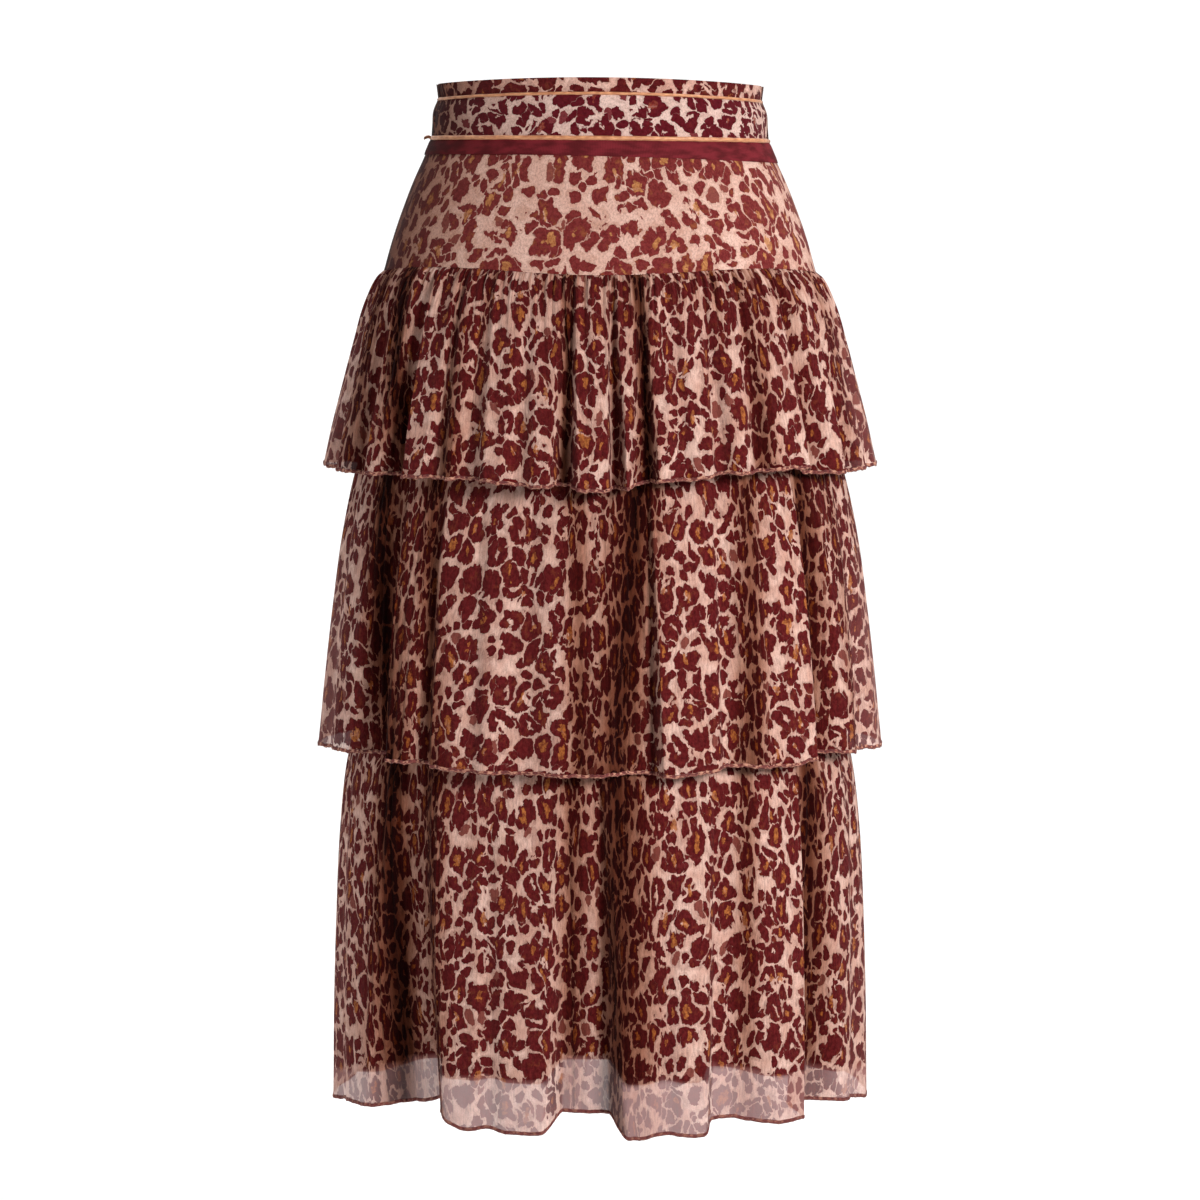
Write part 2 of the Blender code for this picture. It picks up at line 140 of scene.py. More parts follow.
# %% [markdown]
# ## Reading the rings
# Angle 0 is the centre front, 90 the wearer's left side seam and 180 the centre back. A Hermite curve
# joins the rings, so the outline has no corners. Points move off the form along the ring's own normal,
# so a fold is as deep at the sides as it is at the front.

# %% Points on the form
def through(stops, values, at):
    """A smooth curve through values at stops, read at any places."""
    stops, values = np.asarray(stops, float), np.asarray(values, float)
    slope = np.gradient(values, stops)
    i = np.clip(np.searchsorted(stops, at, side="right") - 1, 0, len(stops) - 2)
    gap = stops[i + 1] - stops[i]
    t = np.clip((at - stops[i]) / gap, 0, 1)
    rise = values[i] * (2 * t**3 - 3 * t**2 + 1) + values[i + 1] * (3 * t**2 - 2 * t**3)
    return rise + gap * (slope[i] * (t**3 - 2 * t**2 + t) + slope[i + 1] * (t**3 - t**2))


def on_form(sections, angle, share, out):
    """Plan of a ring at an angle, moved out along its own normal."""
    stops = [s.share for s in sections]
    side, front, back = (through(stops, [s[k] for s in sections], share) for k in (1, 2, 3))
    turn = np.radians(angle)
    depth = np.where(np.cos(turn) >= 0, front, back)
    nx, ny = np.sin(turn) / side, -np.cos(turn) / depth
    size = np.hypot(nx, ny)
    return side * np.sin(turn) + nx / size * out, -depth * np.cos(turn) + ny / size * out


def level_at(level, angle):
    """Height of a seam or an edge at an angle."""
    turn = np.radians(angle)
    height = level.side + level.rise * np.cos(turn) ** 2 - level.lean * np.sin(turn)
    return height + level.lift * np.sin(2 * turn) ** 2


def half_girth(ring):
    """Length of half an oval, in metres."""
    return math.pi * math.sqrt((ring.side**2 + ((ring.front + ring.back) / 2) ** 2) / 2) * MM


print(f"waist girth: {2 * half_girth(WAISTBAND[1]):.3f} m")

# %% [markdown]
# ## Where the folds lie
# A gathered frill falls into a few deep folds. Each is a trough between two crests, with a flat floor
# and two flanks, all in degrees round the skirt, and a depth. One steep flank beside one gentle one reads
# as cloth that has folded over. Cloth simulation would also give folds, but never the same ones twice,
# and not where we want them, so the folds are listed one by one. Where a fold shuts, shade is painted
# into the cloth: the shade tables say where, and how dark that painted shade is at the top and at the
# hem.

# %% Fold, hem and shade tables
Fold = namedtuple("Fold", "angle floor left right depth")
HemPoint = namedtuple("HemPoint", "angle height")
Shade = namedtuple("Shade", "top_angle hem_angle left right deep_at_top deep_at_hem")
FOLDS_1 = [
    Fold(-75, 0.5, 5, 5, 6), Fold(-60, 0.5, 5, 4, 7), Fold(-46.5, 1, 7, 2.5, 13),
    Fold(-36, 0.5, 3.5, 3.5, 4), Fold(-28, 1, 4, 4, 7), Fold(-17, 0.5, 3.5, 3.5, 4),
    Fold(-7.5, 1.2, 3, 3, 13), Fold(2.6, 0.6, 1.8, 3, 14), Fold(9.6, 1, 4, 2.2, 12), Fold(17, 0.5, 3, 3, 3),
    Fold(25.5, 0.5, 3, 4, 7), Fold(35, 0.5, 4, 4, 6), Fold(50, 1, 2.5, 8, 13), Fold(64, 0.5, 4, 5, 6),
    Fold(77, 0.5, 5, 5, 6),
]
FOLDS_2 = [
    Fold(-76, 1, 7, 7, 5), Fold(-51, 1.5, 12, 3, 16), Fold(-38, 0.5, 5, 3, 7), Fold(-27, 0.5, 4, 4, 3),
    Fold(-16, 1, 7, 7, 5), Fold(-3, 0.5, 5, 5, 3), Fold(9.5, 2, 9, 2.5, 14), Fold(27, 1, 3, 7, 8),
    Fold(38, 0.5, 4, 4, 3), Fold(51, 1, 2.5, 11, 15), Fold(70, 1, 7, 8, 7),
]
FOLDS_3 = [
    Fold(-76, 1, 7, 7, 4), Fold(-45.5, 3.5, 11, 8.5, 22), Fold(-24, 0.5, 4, 4, 3),
    Fold(-3.3, 5.5, 5, 5, 19), Fold(14, 0.5, 4, 4, 3), Fold(27, 1.5, 4.5, 14, 13), Fold(51, 1.5, 3, 13, 20),
    Fold(74, 1, 7, 7, 5),
]
HEM_1 = [
    HemPoint(-90, -275), HemPoint(-60, -278), HemPoint(-30, -279), HemPoint(-10, -284), HemPoint(2, -287),
    HemPoint(16, -279), HemPoint(28, -275), HemPoint(46, -272), HemPoint(52, -278), HemPoint(90, -275),
]
HEM_2 = [
    HemPoint(-90, -497), HemPoint(-63, -494), HemPoint(-40, -497), HemPoint(-26, -501), HemPoint(14, -503),
    HemPoint(26, -498), HemPoint(42, -499), HemPoint(50, -494), HemPoint(90, -497),
]
HEM_3 = [
    HemPoint(-90, -779), HemPoint(-62, -771), HemPoint(-46, -773), HemPoint(-38, -768), HemPoint(-29, -777),
    HemPoint(-15, -777), HemPoint(14, -780), HemPoint(42, -776), HemPoint(50, -774), HemPoint(61, -769),
    HemPoint(90, -778),
]
# Where shade is painted into each ruffle's shut folds, and how dark, at the top and at the hem.
SHADES_1 = [
    Shade(-70, -63, 10, 8, 0.7, 0.6), Shade(-58, -46, 8, 6, 0.95, 0.95),
    Shade(-27.5, -30, 2, 2.5, 0.6, 0.0), Shade(-36, -33.5, 4, 6, 0.4, 0.85),
    Shade(-7.6, -7.8, 3.2, 2.8, 0.7, 0.9), Shade(3, 2.6, 2, 3, 0.4, 0.4),
    Shade(9.5, 10.3, 4, 3.5, 0.95, 0.9), Shade(39, 35.5, 4, 7, 0.3, 0.75), Shade(50, 50, 2.5, 7, 0.4, 0.5),
    Shade(72, 66, 6, 6, 0.4, 0.3),
]
SHADES_2 = [
    Shade(-59.5, -52, 8, 10, 1.0, 1.0), Shade(-50, -46, 7, 8, 0.3, 0.95),
    Shade(-41.5, -36, 6, 6.5, 0.9, 0.85), Shade(-5, -4, 5, 4, 0.65, 0.75), Shade(9, 3.2, 11, 10, 1.0, 0.95),
    Shade(35, 31.5, 6, 7, 0.75, 0.8), Shade(53, 51, 4, 9, 0.95, 0.85), Shade(64, 65, 6, 8, 0.35, 0.4),
]
SHADES_3 = [
    Shade(-53, -51, 11, 9, 1.0, 1.0), Shade(-41, -38, 8, 8, 0.85, 0.8), Shade(-6, -6.5, 6, 5.5, 0.75, 0.7),
    Shade(3.5, 5, 8, 12, 1.0, 0.85), Shade(34, 33, 5, 4, 0.65, 0.45), Shade(54, 53.5, 6, 9, 1.0, 0.8),
]
print("folds all round:", [2 * len(folds) for folds in (FOLDS_1, FOLDS_2, FOLDS_3)])

# %% [markdown]
# ## Folds of the back
# The back hangs like the front but not quite the same, so it takes the front's tables, turned round,
# drawn together a little and made shallower. That saves a second set of tables, and no fold meets its
# twin at a side seam.

# %% Folds all round
BACK_TURN, BACK_SPACING, BACK_DEPTH = 183.0, 0.97, 0.92


def degrees_from(middle, angle):
    """Degrees from middle round to angle, between -180 and 180."""
    return (angle - middle + 180) % 360 - 180


def to_back(angle):
    """Where the back has the fold that the front has at an angle."""
    return BACK_TURN + angle * BACK_SPACING


def all_round(folds):
    """The front's folds and those of the back."""
    return folds + [f._replace(angle=to_back(f.angle), depth=f.depth * BACK_DEPTH) for f in folds]


def all_round_shades(shades):
    """The front's shades and those of the back."""
    return shades + [
        s._replace(top_angle=to_back(s.top_angle), hem_angle=to_back(s.hem_angle)) for s in shades
    ]


print("the front's middle falls at", to_back(0), "degrees on the back")

# %% [markdown]
# ## Shaping the folds
# Folds start narrow and shallow under the gathers and open towards the hem. Beside a steep flank the
# crest leans over its trough, as cloth does when it folds over. Moving points inward alone can't show
# that, so the crest is turned round the skirt as well.

# %% Fold shapes
FOLD_WIDTH_AT_TOP = 0.45
FOLD_GROWTH = 0.8
STEEP_FLANK = 5.5
LEAN_PER_DEPTH, LEAN_WIDTH = 0.075, 0.9


def drawn_in(folds, angle, share):
    """How far the folds draw the cloth in, a share of the way down."""
    width = mix(FOLD_WIDTH_AT_TOP, 1.0, share)
    total = 0.0
    for fold in folds:
        off = degrees_from(fold.angle, angle) / width
        flank = np.where(off < 0, fold.left, fold.right)
        total = total + fold.depth * (1 - smooth((np.abs(off) - fold.floor) / flank))
    return total * share**FOLD_GROWTH


def rolled_over(folds, angle, share):
    """Degrees that the crest beside a steep flank leans over its trough."""
    width = mix(FOLD_WIDTH_AT_TOP, 1.0, share)
    total = 0.0
    for fold in folds:
        off = degrees_from(fold.angle, angle) / width
        for sign, flank in ((-1, fold.left), (1, fold.right)):
            if flank < STEEP_FLANK:
                crest = sign * (fold.floor + flank)
                lean = fold.depth * LEAN_PER_DEPTH * bell(off - crest, LEAN_WIDTH * flank)
                total = total - sign * lean
    return total * share**FOLD_GROWTH


deepest = drawn_in(FOLDS_3, np.arange(-90.0, 90.0), 1.0).max()
print(f"deepest fold of the lowest hem: {deepest:.1f} mm")

# %% [markdown]
# ## Painted fold shade and hem heights
# Where a fold shuts, the cloth lies doubled and little light gets in. A thin cloth that really touches
# itself would flicker when it is rendered, so the folds stay open by a hair, and their shade is painted
# into the cloth, as dark as the shade tables say. A hem's height is read from its own table, seam to seam.

# %% Shades and hems
def fold_shade_and_crowding(shades, angle, share):
    """0 to 1 for how dark the painted shade of shut folds is at each point. The cloth crowds into pleats
    there too.
    """
    lightness = 1.0
    for shade in shades:
        off = degrees_from(mix(shade.top_angle, shade.hem_angle, share), angle)
        reach = np.where(off < 0, shade.left, shade.right)
        deep = mix(shade.deep_at_top, shade.deep_at_hem, share)
        lightness = lightness * (1 - deep * (1 - smooth(np.abs(off) / reach)))
    return 1 - lightness


def hem_height(points, angle):
    """Height of a hem. The back is cut as the front is."""
    front = np.where(angle > 90, 180 - angle, angle)
    height = np.full_like(front, points[0].height)
    for a, b in zip(points, points[1:]):
        part = smooth((front - a.angle) / (b.angle - a.angle))
        height = np.where(front >= a.angle, mix(a.height, b.height, part), height)
    return height


lowest = hem_height(HEM_3, np.arange(-90.0, 90.0)).min()
print(f"lowest point of the lowest hem: {lowest:.0f} mm")

# %% [markdown]
# ## Gathers
# Where the frill is pulled up on its thread, it puffs into small round ridges with tight valleys. They
# fade as the cloth falls: the finest within a centimetre or two, the coarser ones run on down. The
# ridges are |sin| waves of uneven width, which is cheaper and tidier than sculpting each one.

# %% Gathers and small unevenness
Gather = namedtuple("Gather", "ridges height reach seed")
RUFFLE_GATHERS = [
    Gather(128, 2.2, 14, 1.0), Gather(60, 3.0, 34, 6.0), Gather(31, 3.2, 60, 4.0),
    Gather(17, 2.6, 120, 9.0),
]
HIDDEN_GATHERS = [Gather(58, 1.2, 45, 7.0), Gather(29, 1.2, 80, 2.0), Gather(11, 1.6, 260, 6.0)]
GATHER_FLOOR = 0.6
STITCH_HOLD, STITCH_REACH = 0.4, 5.0
SEAM_HOLD = 0.012


def wander(x, seed):
    """Uneven values between about -1 and 1 that change smoothly along x."""
    return 0.5 * np.sin(x + seed) + 0.3 * np.sin(2.17 * x + 2.3 * seed) + 0.2 * np.sin(4.31 * x + 4.1 * seed)


def from_seam(across):
    """Distance to the nearer side seam, where across is 0 to 1 over the panel."""
    return np.minimum(across, 1 - across)


def gathered(gathers, across, below):
    """How far the gathers stand out, below mm under the seam. The stitches hold them low there."""
    total = 0.0
    for g in gathers:
        bend = 1.1 * wander(across * g.ridges * 0.55, g.seed)
        ridge = np.abs(np.sin(math.pi * (across * g.ridges + bend))) - GATHER_FLOOR
        size = 0.75 + 0.45 * wander(across * g.ridges * 0.9, g.seed + 3)
        total = total + g.height * size * ridge * np.exp(-below / g.reach)
    stitched = mix(STITCH_HOLD, 1.0, smooth(below / STITCH_REACH))
    return total * stitched * smooth(from_seam(across) / SEAM_HOLD)


print("gathers in a panel of the top ruffle:", RUFFLE_GATHERS[0].ridges)

# %% [markdown]
# ## Turning rows of points into cloth
# Each cloth is one open surface with a point for every row and column. Two UV maps go with it. The one
# called cloth holds real metres along the threads, so a print keeps its size however the cloth folds.
# The one called OFBake is the same flat cloth scaled to fill a square. Two more numbers can ride on each
# point: sheer says how much light comes through there, and hollow how dark the shade
# painted there is, in folds and towards side seams.

# %% Panels of cloth
SQUARE_MARGIN = 0.01


def cloth_object(name, points, faces, flat, **marks):
    """An object with its two UV maps and its marks. flat is each point's place on the flat cloth."""
    mesh = bpy.data.meshes.new(name)
    mesh.from_pydata(points.reshape(-1, 3).tolist(), [], faces)
    corners = np.zeros(len(mesh.loops), np.int64)
    mesh.loops.foreach_get("vertex_index", corners)
    square = (flat - flat.min(0)) / np.ptp(flat, axis=0) * (1 - 2 * SQUARE_MARGIN) + SQUARE_MARGIN
    for label, values in (("OFBake", square), ("cloth", flat)):
        layer = mesh.uv_layers.new(name=label)
        layer.data.foreach_set("uv", values[corners].astype(np.float32).ravel())
    for label, values in marks.items():
        mark = mesh.attributes.new(label, "FLOAT", "POINT")
        mark.data.foreach_set("value", values.astype(np.float32).ravel())
    mesh.shade_smooth()
    made = bpy.data.objects.new(name, mesh)
    bpy.context.scene.collection.objects.link(made)
    return made


def panel_mesh(name, points, across, down, **marks):
    """An open cloth from a grid of points. across and down are metres along the flat cloth."""
    rows, columns = points.shape[:2]
    index = np.arange(rows * columns).reshape(rows, columns)
    quads = np.stack([index[:-1, :-1], index[1:, :-1], index[1:, 1:], index[:-1, 1:]], -1)
    flat = np.stack([across, down], -1).reshape(-1, 2)
    return cloth_object(name, points, quads.reshape(-1, 4).tolist(), flat, **marks)


print("a cloth fills", 1 - 2 * SQUARE_MARGIN, "of the width of its square")

# %% [markdown]
# ## Cords, and dressing a piece
# A cord or a rolled hem is a tube round a line of points. A curve with a bevel would look the same, but
# a tube made from points can be flat, and its cloth carries real metres like the rest. Dressing a
# piece gives it its finish, ties it to the body that carries it, and says which solids it covers.

# %% Cords and dressing
CORD_SIDES, HEM_SIDES = 10, 8


def tube_mesh(name, centres, outward, radii, sides=CORD_SIDES):
    """A closed cord along centres. radii are its half thickness outward and up."""
    turn = np.linspace(0, 2 * math.pi, sides, endpoint=False)
    up = np.array([0, 0, 1.0])
    ring = (
        centres[:, None]
        + radii[0] * np.cos(turn)[None, :, None] * outward[:, None]
        + radii[1] * np.sin(turn)[None, :, None] * up
    )
    count = len(centres)
    index = np.arange(count * sides).reshape(count, sides)
    beside = np.roll(index, -1, axis=1)
    quads = np.stack([index[:-1], index[1:], beside[1:], beside[:-1]], -1).reshape(-1, 4).tolist()
    ends = [index[0][::-1].tolist(), index[-1].tolist()]
    length = np.concatenate([[0], np.cumsum(np.linalg.norm(np.diff(centres, axis=0), axis=1))])
    flat = np.stack([np.repeat(length, sides), np.tile(turn * radii[1], count)], -1)
    return cloth_object(name, ring, quads + ends, flat)


def dress(piece, material, nodes=()):
    """Gives a piece its finish and its place on the frame."""
    piece.data.materials.append(material)
    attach(piece, "root")
    if nodes:
        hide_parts(*nodes)
    print(piece.name, len(piece.data.polygons), "faces")
    return piece


print("sides of a cord and of a rolled hem:", CORD_SIDES, HEM_SIDES)

# %% [markdown]
# ## Writing shader sums
# A print like this one is a formula. Wiring dozens of Math nodes by hand is hard to read, so a small
# class wraps a socket: a sum written with it adds the nodes.

# %% Sums of sockets
class Wire:
    """One output of a node, used in a sum like a number."""

    def __init__(self, finish, socket):
        self.finish = finish
        self.socket = socket

    def __add__(self, other):
        return self.finish.sum("ADD", self, other)

    def __sub__(self, other):
        return self.finish.sum("SUBTRACT", self, other)

    def __rsub__(self, other):
        return self.finish.sum("SUBTRACT", other, self)

    def __mul__(self, other):
        return self.finish.sum("MULTIPLY", self, other)

    def __pow__(self, other):
        return self.finish.sum("POWER", self, other)

    __radd__ = __add__
    __rmul__ = __mul__


print("signs that add a node: + - * **")

# %% [markdown]
# ## Building a finish
# Anything but a sum goes through one method that takes the node's type, its settings and its inputs. The
# methods after it only give plain names to the nodes we use most.

# %% Finishes
SHARP = 0.001


class Finish:
    """A material that is built up from sums and nodes."""

    def __init__(self, name):
        self.material = bpy.data.materials.new(name)
        self.material.use_nodes = True
        self.tree = self.material.node_tree
        self.shader = self.tree.nodes["Principled BSDF"]

    def node(self, kind, settings, inputs, output=0):
        """Adds a node. Its settings are set first, then each input gets a value or a link."""
        made = self.tree.nodes.new(kind)
        for key, value in settings.items():
            setattr(made, key, value)
        self.join(made, inputs)
        return Wire(self, made.outputs[output])

    def join(self, node, inputs):
        """Gives each named input of a node its value or its link."""
        for key, value in inputs.items():
            if isinstance(value, Wire):
                self.tree.links.new(value.socket, node.inputs[key])
            else:
                node.inputs[key].default_value = value

    def finished(self, inputs):
        """Sets the inputs of the shader itself and hands the material over."""
        self.join(self.shader, inputs)
        return self.material

    def also(self, wire, output):
        """Another output of the node that a wire comes from."""
        return Wire(self, wire.socket.node.outputs[output])

    def sum(self, operation, *values):
        return self.node("ShaderNodeMath", {"operation": operation}, dict(enumerate(values)))

    def vector(self, operation, *values):
        return self.node("ShaderNodeVectorMath", {"operation": operation}, dict(enumerate(values)))

    def stretched(self, where, *scale):
        return self.vector("MULTIPLY", where, scale)

    def step(self, value, low, high):
        """0 below low, 1 above high, and smooth between them."""
        return self.node(
            "ShaderNodeMapRange", {"interpolation_type": "SMOOTHSTEP"},
            {"Value": value, "From Min": low, "From Max": high},
        )

    def above(self, value, limit):
        """1 above a limit and 0 below it."""
        return self.step(value, limit, limit + SHARP)

    def most(self, a, b):
        return self.sum("MAXIMUM", a, b)

    def blend(self, a, b, share):
        return self.node("ShaderNodeMix", {"data_type": "RGBA"}, {0: share, 6: a, 7: b}, output=2)

    def tinted(self, a, b):
        """Two colours multiplied."""
        settings = {"data_type": "RGBA", "blend_type": "MULTIPLY"}
        return self.node("ShaderNodeMix", settings, {0: 1.0, 6: a, 7: b}, output=2)


def srgb(red, green, blue):
    """A shader colour from the 0 to 255 numbers of a colour chart."""
    def linear(value):
        value /= 255
        return ((value + 0.055) / 1.055) ** 2.4 if value > 0.04045 else value / 12.92
    return (linear(red), linear(green), linear(blue), 1.0)


print("a middle grey in the shader:", round(srgb(128, 128, 128)[0], 3))

# %% [markdown]
# ## What a cloth's finish needs
# Noise makes a cloth uneven, and a fine relief gives it its grain. Some numbers ride on the mesh and are
# read here by name. The shade painted inside a fold takes the cloth's own colour, because light that
# bounces about in there takes on more of it each time. Plain grey shadow would look dirty instead.

# %% Cloth finishes
HOLLOW_DEPTH = 0.95
HOLLOW_TINT = (0.85, 1.2, 1.4)


class ClothFinish(Finish):
    """A finish that knows the flat cloth, its noises and its hollows."""

    def noise(self, where, scale, detail=1.0, roughness=0.5, output="Fac"):
        return self.node(
            "ShaderNodeTexNoise", {},
            {"Vector": where, "Scale": scale, "Detail": detail, "Roughness": roughness}, output,
        )

    def relief(self, strength, distance, height):
        """The Normal of a fine relief, distance metres high."""
        inputs = {"Strength": strength, "Distance": distance, "Height": height}
        return self.node("ShaderNodeBump", {}, inputs, "Normal")

    def parts(self, vector):
        x = self.node("ShaderNodeSeparateXYZ", {}, {0: vector})
        return x, self.also(x, 1), self.also(x, 2)

    def marked(self, label):
        """A number that rides on the mesh's points."""
        return self.node("ShaderNodeAttribute", {"attribute_name": label}, {}, "Fac")

    def cloth(self):
        """Metres along the flat cloth."""
        return self.node("ShaderNodeUVMap", {"uv_map": "cloth"}, {})

    def in_hollows(self, colour):
        """Light that bounces between folds of this cloth is not only weaker but warmer too."""
        # painted shade: the hollow mark darkens the colour and makes it warmer
        light = 1 - self.marked("hollow") * HOLLOW_DEPTH
        tint = {channel: light**power for channel, power in enumerate(HOLLOW_TINT)}
        return self.tinted(colour, self.node("ShaderNodeCombineColor", {}, tint))

    def shifted(self, where, by, amount):
        """where, moved by a noise colour."""
        middle = self.vector("SUBTRACT", by, (0.5, 0.5, 0.5))
        return self.vector("ADD", where, self.stretched(middle, amount, amount, 0.0))


print("the deepest hollow keeps", round(1 - HOLLOW_DEPTH, 2), "of its light")

# %% [markdown]
# ## One rosette of the leopard print
# A leopard's marks are rosettes: a ring of rounded lobes round a warm centre, sometimes open at one
# side. Cell noise places them. Round each middle we measure the direction, split it in five, and give
# every lobe its own size by chance. A painted picture would look as good from near, but a formula has
# no edge and no repeat. All lengths in these sums are shares of a cell, about one rosette wide.

# %% Rosette
Cells = namedtuple("Cells", "distance random place")
Rosette = namedtuple("Rosette", "edge away ring")
LOBES = 5.0
RING_SIZE, RING_OVAL, RING_VARIETY = 0.245, 0.05, 0.06
LOBE_SIZE, LOBE_SPREAD = 0.120, 0.085
MISSING_LOBES = 0.18
RANDOM_TURN = 6.3  # about a full turn, in radians
ROSETTE_SCATTER, BLOB_SCATTER = 0.88, 0.8


def cell_noise(finish, where, feature, scale, scatter):
    return finish.node(
        "ShaderNodeTexVoronoi", {"feature": feature, "voronoi_dimensions": "2D"},
        {"Vector": where, "Scale": scale, "Randomness": scatter}, "Distance",
    )


def cells(finish, where, scale=1.0, scatter=ROSETTE_SCATTER):
    """Distance to the nearest middle, three random numbers of that cell, and the middle's place."""
    distance = cell_noise(finish, where, "F1", scale, scatter)
    return Cells(distance, finish.parts(finish.also(distance, "Color")), finish.also(distance, "Position"))


def rosette(finish, where, cell, seed):
    """Distance to the edge of the nearest lobe, distance to the middle, and the ring's size there."""
    x, y, _ = finish.parts(finish.vector("SUBTRACT", where, cell.place))
    away = finish.sum("SQRT", x * x + y * y)
    direction = finish.sum("ARCTAN2", y, x)
    turn = direction * (LOBES / (2 * math.pi)) + cell.random[2] * LOBES
    number = finish.sum("ROUND", turn)
    off = (turn - number) * (2 * math.pi / LOBES)
    key = finish.node("ShaderNodeCombineXYZ", {}, {
        0: finish.sum("FLOORED_MODULO", number, LOBES), 1: cell.random[0] * 91.0 + seed,
    })
    dice = finish.node("ShaderNodeTexWhiteNoise", {"noise_dimensions": "2D"}, {"Vector": key}, "Color")
    missing, width, _ = finish.parts(dice)
    oval = finish.sum("COSINE", direction * 2.0 + cell.random[1] * RANDOM_TURN)
    ring = oval * RING_OVAL + cell.random[0] * RING_VARIETY + RING_SIZE
    to_lobe = away * away + ring * ring - away * ring * 2.0 * finish.sum("COSINE", off)
    lobe = (width * LOBE_SPREAD + LOBE_SIZE) * finish.above(missing, MISSING_LOBES)
    return Rosette(finish.sum("SQRT", finish.most(to_lobe, 0.0)) - lobe, away, ring)


print("lobes round a rosette:", LOBES)

# %% [markdown]
# ## Rosettes and single blobs
# The rosettes keep a gap between them. A second, finer cell noise places single blobs in the ground, each
# as large as the room that the rosettes leave. Every edge is a soft step, because ink creeps a little
# along the threads. One noise for both kinds of mark would be shorter, but then they would look alike.

# %% Rosettes and blobs
BLOB_CELLS = 1.95
INK_EDGE, LOBE_EDGE = 0.02, 0.013
FATTER = 0.02
SMALLEST_BLOB, SMALLEST_BLEED = 0.27, 0.20
FADED_BLOBS = 0.94


def rosettes(finish, where, cell, mark, patchy, full, open_rings):
    """Lobes, and the filled middles of all but the open rings, with a gap between rosettes."""
    gap = cell_noise(finish, where, "DISTANCE_TO_EDGE", 1.0, ROSETTE_SCATTER)
    gap = gap - (patchy - 0.47) * 0.25 - finish.most(mark.away - 0.40, 0.0) * 1.2
    lobes = finish.step(full * FATTER - mark.edge, -LOBE_EDGE, LOBE_EDGE)
    inside = finish.step(mark.ring - mark.away, -INK_EDGE, INK_EDGE)
    middles = finish.above(cell.random[1], open_rings) * inside
    return finish.most(lobes, middles) * finish.step(gap, 0.01, 0.035)


def blobs(finish, where, mark, patchy, full, seed):
    """Single blobs clear of the rosettes, those of them that came out faded, and the ink round them."""
    blob = cells(finish, where, BLOB_CELLS, BLOB_SCATTER)
    nearby = rosette(finish, blob.place, cells(finish, blob.place), seed)
    room = nearby.edge * BLOB_CELLS + 0.16
    reach = finish.sum("MINIMUM", blob.random[1] * 0.14 + 0.38 + full * 0.05, room)
    gap = cell_noise(finish, where, "DISTANCE_TO_EDGE", BLOB_CELLS, BLOB_SCATTER)
    gap = gap + finish.step(patchy, 0.5, 0.7) * 0.16 - finish.most(blob.distance - 0.30, 0.0) * 1.7
    single = finish.step(reach - blob.distance, -INK_EDGE, INK_EDGE) * finish.step(gap, 0.016, 0.044)
    single = single * finish.step(mark.edge - patchy * 0.05, 0.018, 0.042)
    single = single * finish.above(reach, SMALLEST_BLOB)
    single = single * finish.above(nearby.away - nearby.ring, 0.0)
    single = single * finish.step(mark.away - mark.ring, 0.0, INK_EDGE)
    faded = finish.above(blob.random[0], FADED_BLOBS) * single
    bled = finish.step(reach - blob.distance, -0.16, INK_EDGE) * finish.above(reach, SMALLEST_BLEED)
    return single, faded, bled


print("blobs to each rosette, at most:", round(BLOB_CELLS**2, 1))

# %% [markdown]
# ## All the marks of the print
# Three noises bend the cloth first, from broad to ragged, so that no outline is a true circle. Round
# the marks some ink bleeds into the cloth. The warm centres are printed from a smoother screen, so they
# don't register quite with the dark marks, as on a real print of several screens.

# %% All marks
Marks = namedtuple("Marks", "spots centre faded bled place")


def warm_centres(finish, place, wavy, warmth):
    """A slim warm fleck in the middle of most rosettes."""
    smoother = finish.shifted(wavy, finish.noise(place, 9.0, 2.0, 0.6, "Color"), 0.16)
    cell = cells(finish, smoother)
    x, y, _ = finish.parts(finish.vector("SUBTRACT", smoother, cell.place))
    slim = finish.sum("SQRT", x * x * 2.4 + y * y * 0.8)
    reach = cell.random[2] * 0.12 + 0.085 + (finish.noise(place, 8.0, 2.0) - 0.5) * 0.3
    return finish.step(reach - slim, -INK_EDGE, INK_EDGE) * finish.above(warmth - cell.random[0], 0.0)


def leopard(finish, cell, full, seed=0.0, tall=1.15, warmth=0.68, open_rings=0.45):
    """All marks, for rosettes about one cell wide. full fattens them and tall draws them out lengthwise.
    warmth is the share of them that have a warm centre, open_rings the share that are open in the middle."""
    place = finish.stretched(finish.cloth(), 1 / cell, 1 / cell / tall, 1.0)
    place = finish.vector("ADD", place, (seed, seed * 0.7, seed))
    broad = finish.shifted(place, finish.noise(place, 1.1, output="Color"), 0.75)
    wavy = finish.shifted(broad, finish.noise(place, 3.6, output="Color"), 0.22)
    brushed = finish.stretched(place, 11.0, 7.0, 1.0)
    ragged = finish.shifted(wavy, finish.noise(brushed, 1.0, 2.0, 0.6, "Color"), 0.15)
    patchy = finish.noise(place, 2.2, 2.0, 0.6)
    here = cells(finish, ragged)
    mark = rosette(finish, ragged, here, seed)
    large = rosettes(finish, ragged, here, mark, patchy, full, open_rings)
    single, faded, bled_blobs = blobs(finish, ragged, mark, patchy, full, seed)
    bled = finish.most(finish.step(full * FATTER - mark.edge, -0.11, INK_EDGE), bled_blobs)
    bled = bled * finish.step(patchy, 0.36, 0.56)
    return Marks(finish.most(large, single), warm_centres(finish, place, wavy, warmth), faded, bled, place)


print("masks of the print:", Marks._fields[:-1])

# %% [markdown]
# ## Inks
# Each ink has a light and a dark end, and mottling chooses between them, because a real print never
# takes evenly. The yoke's print is paler, as its cloth is a different one, and the waistband has a pink
# ground with almost no brown.

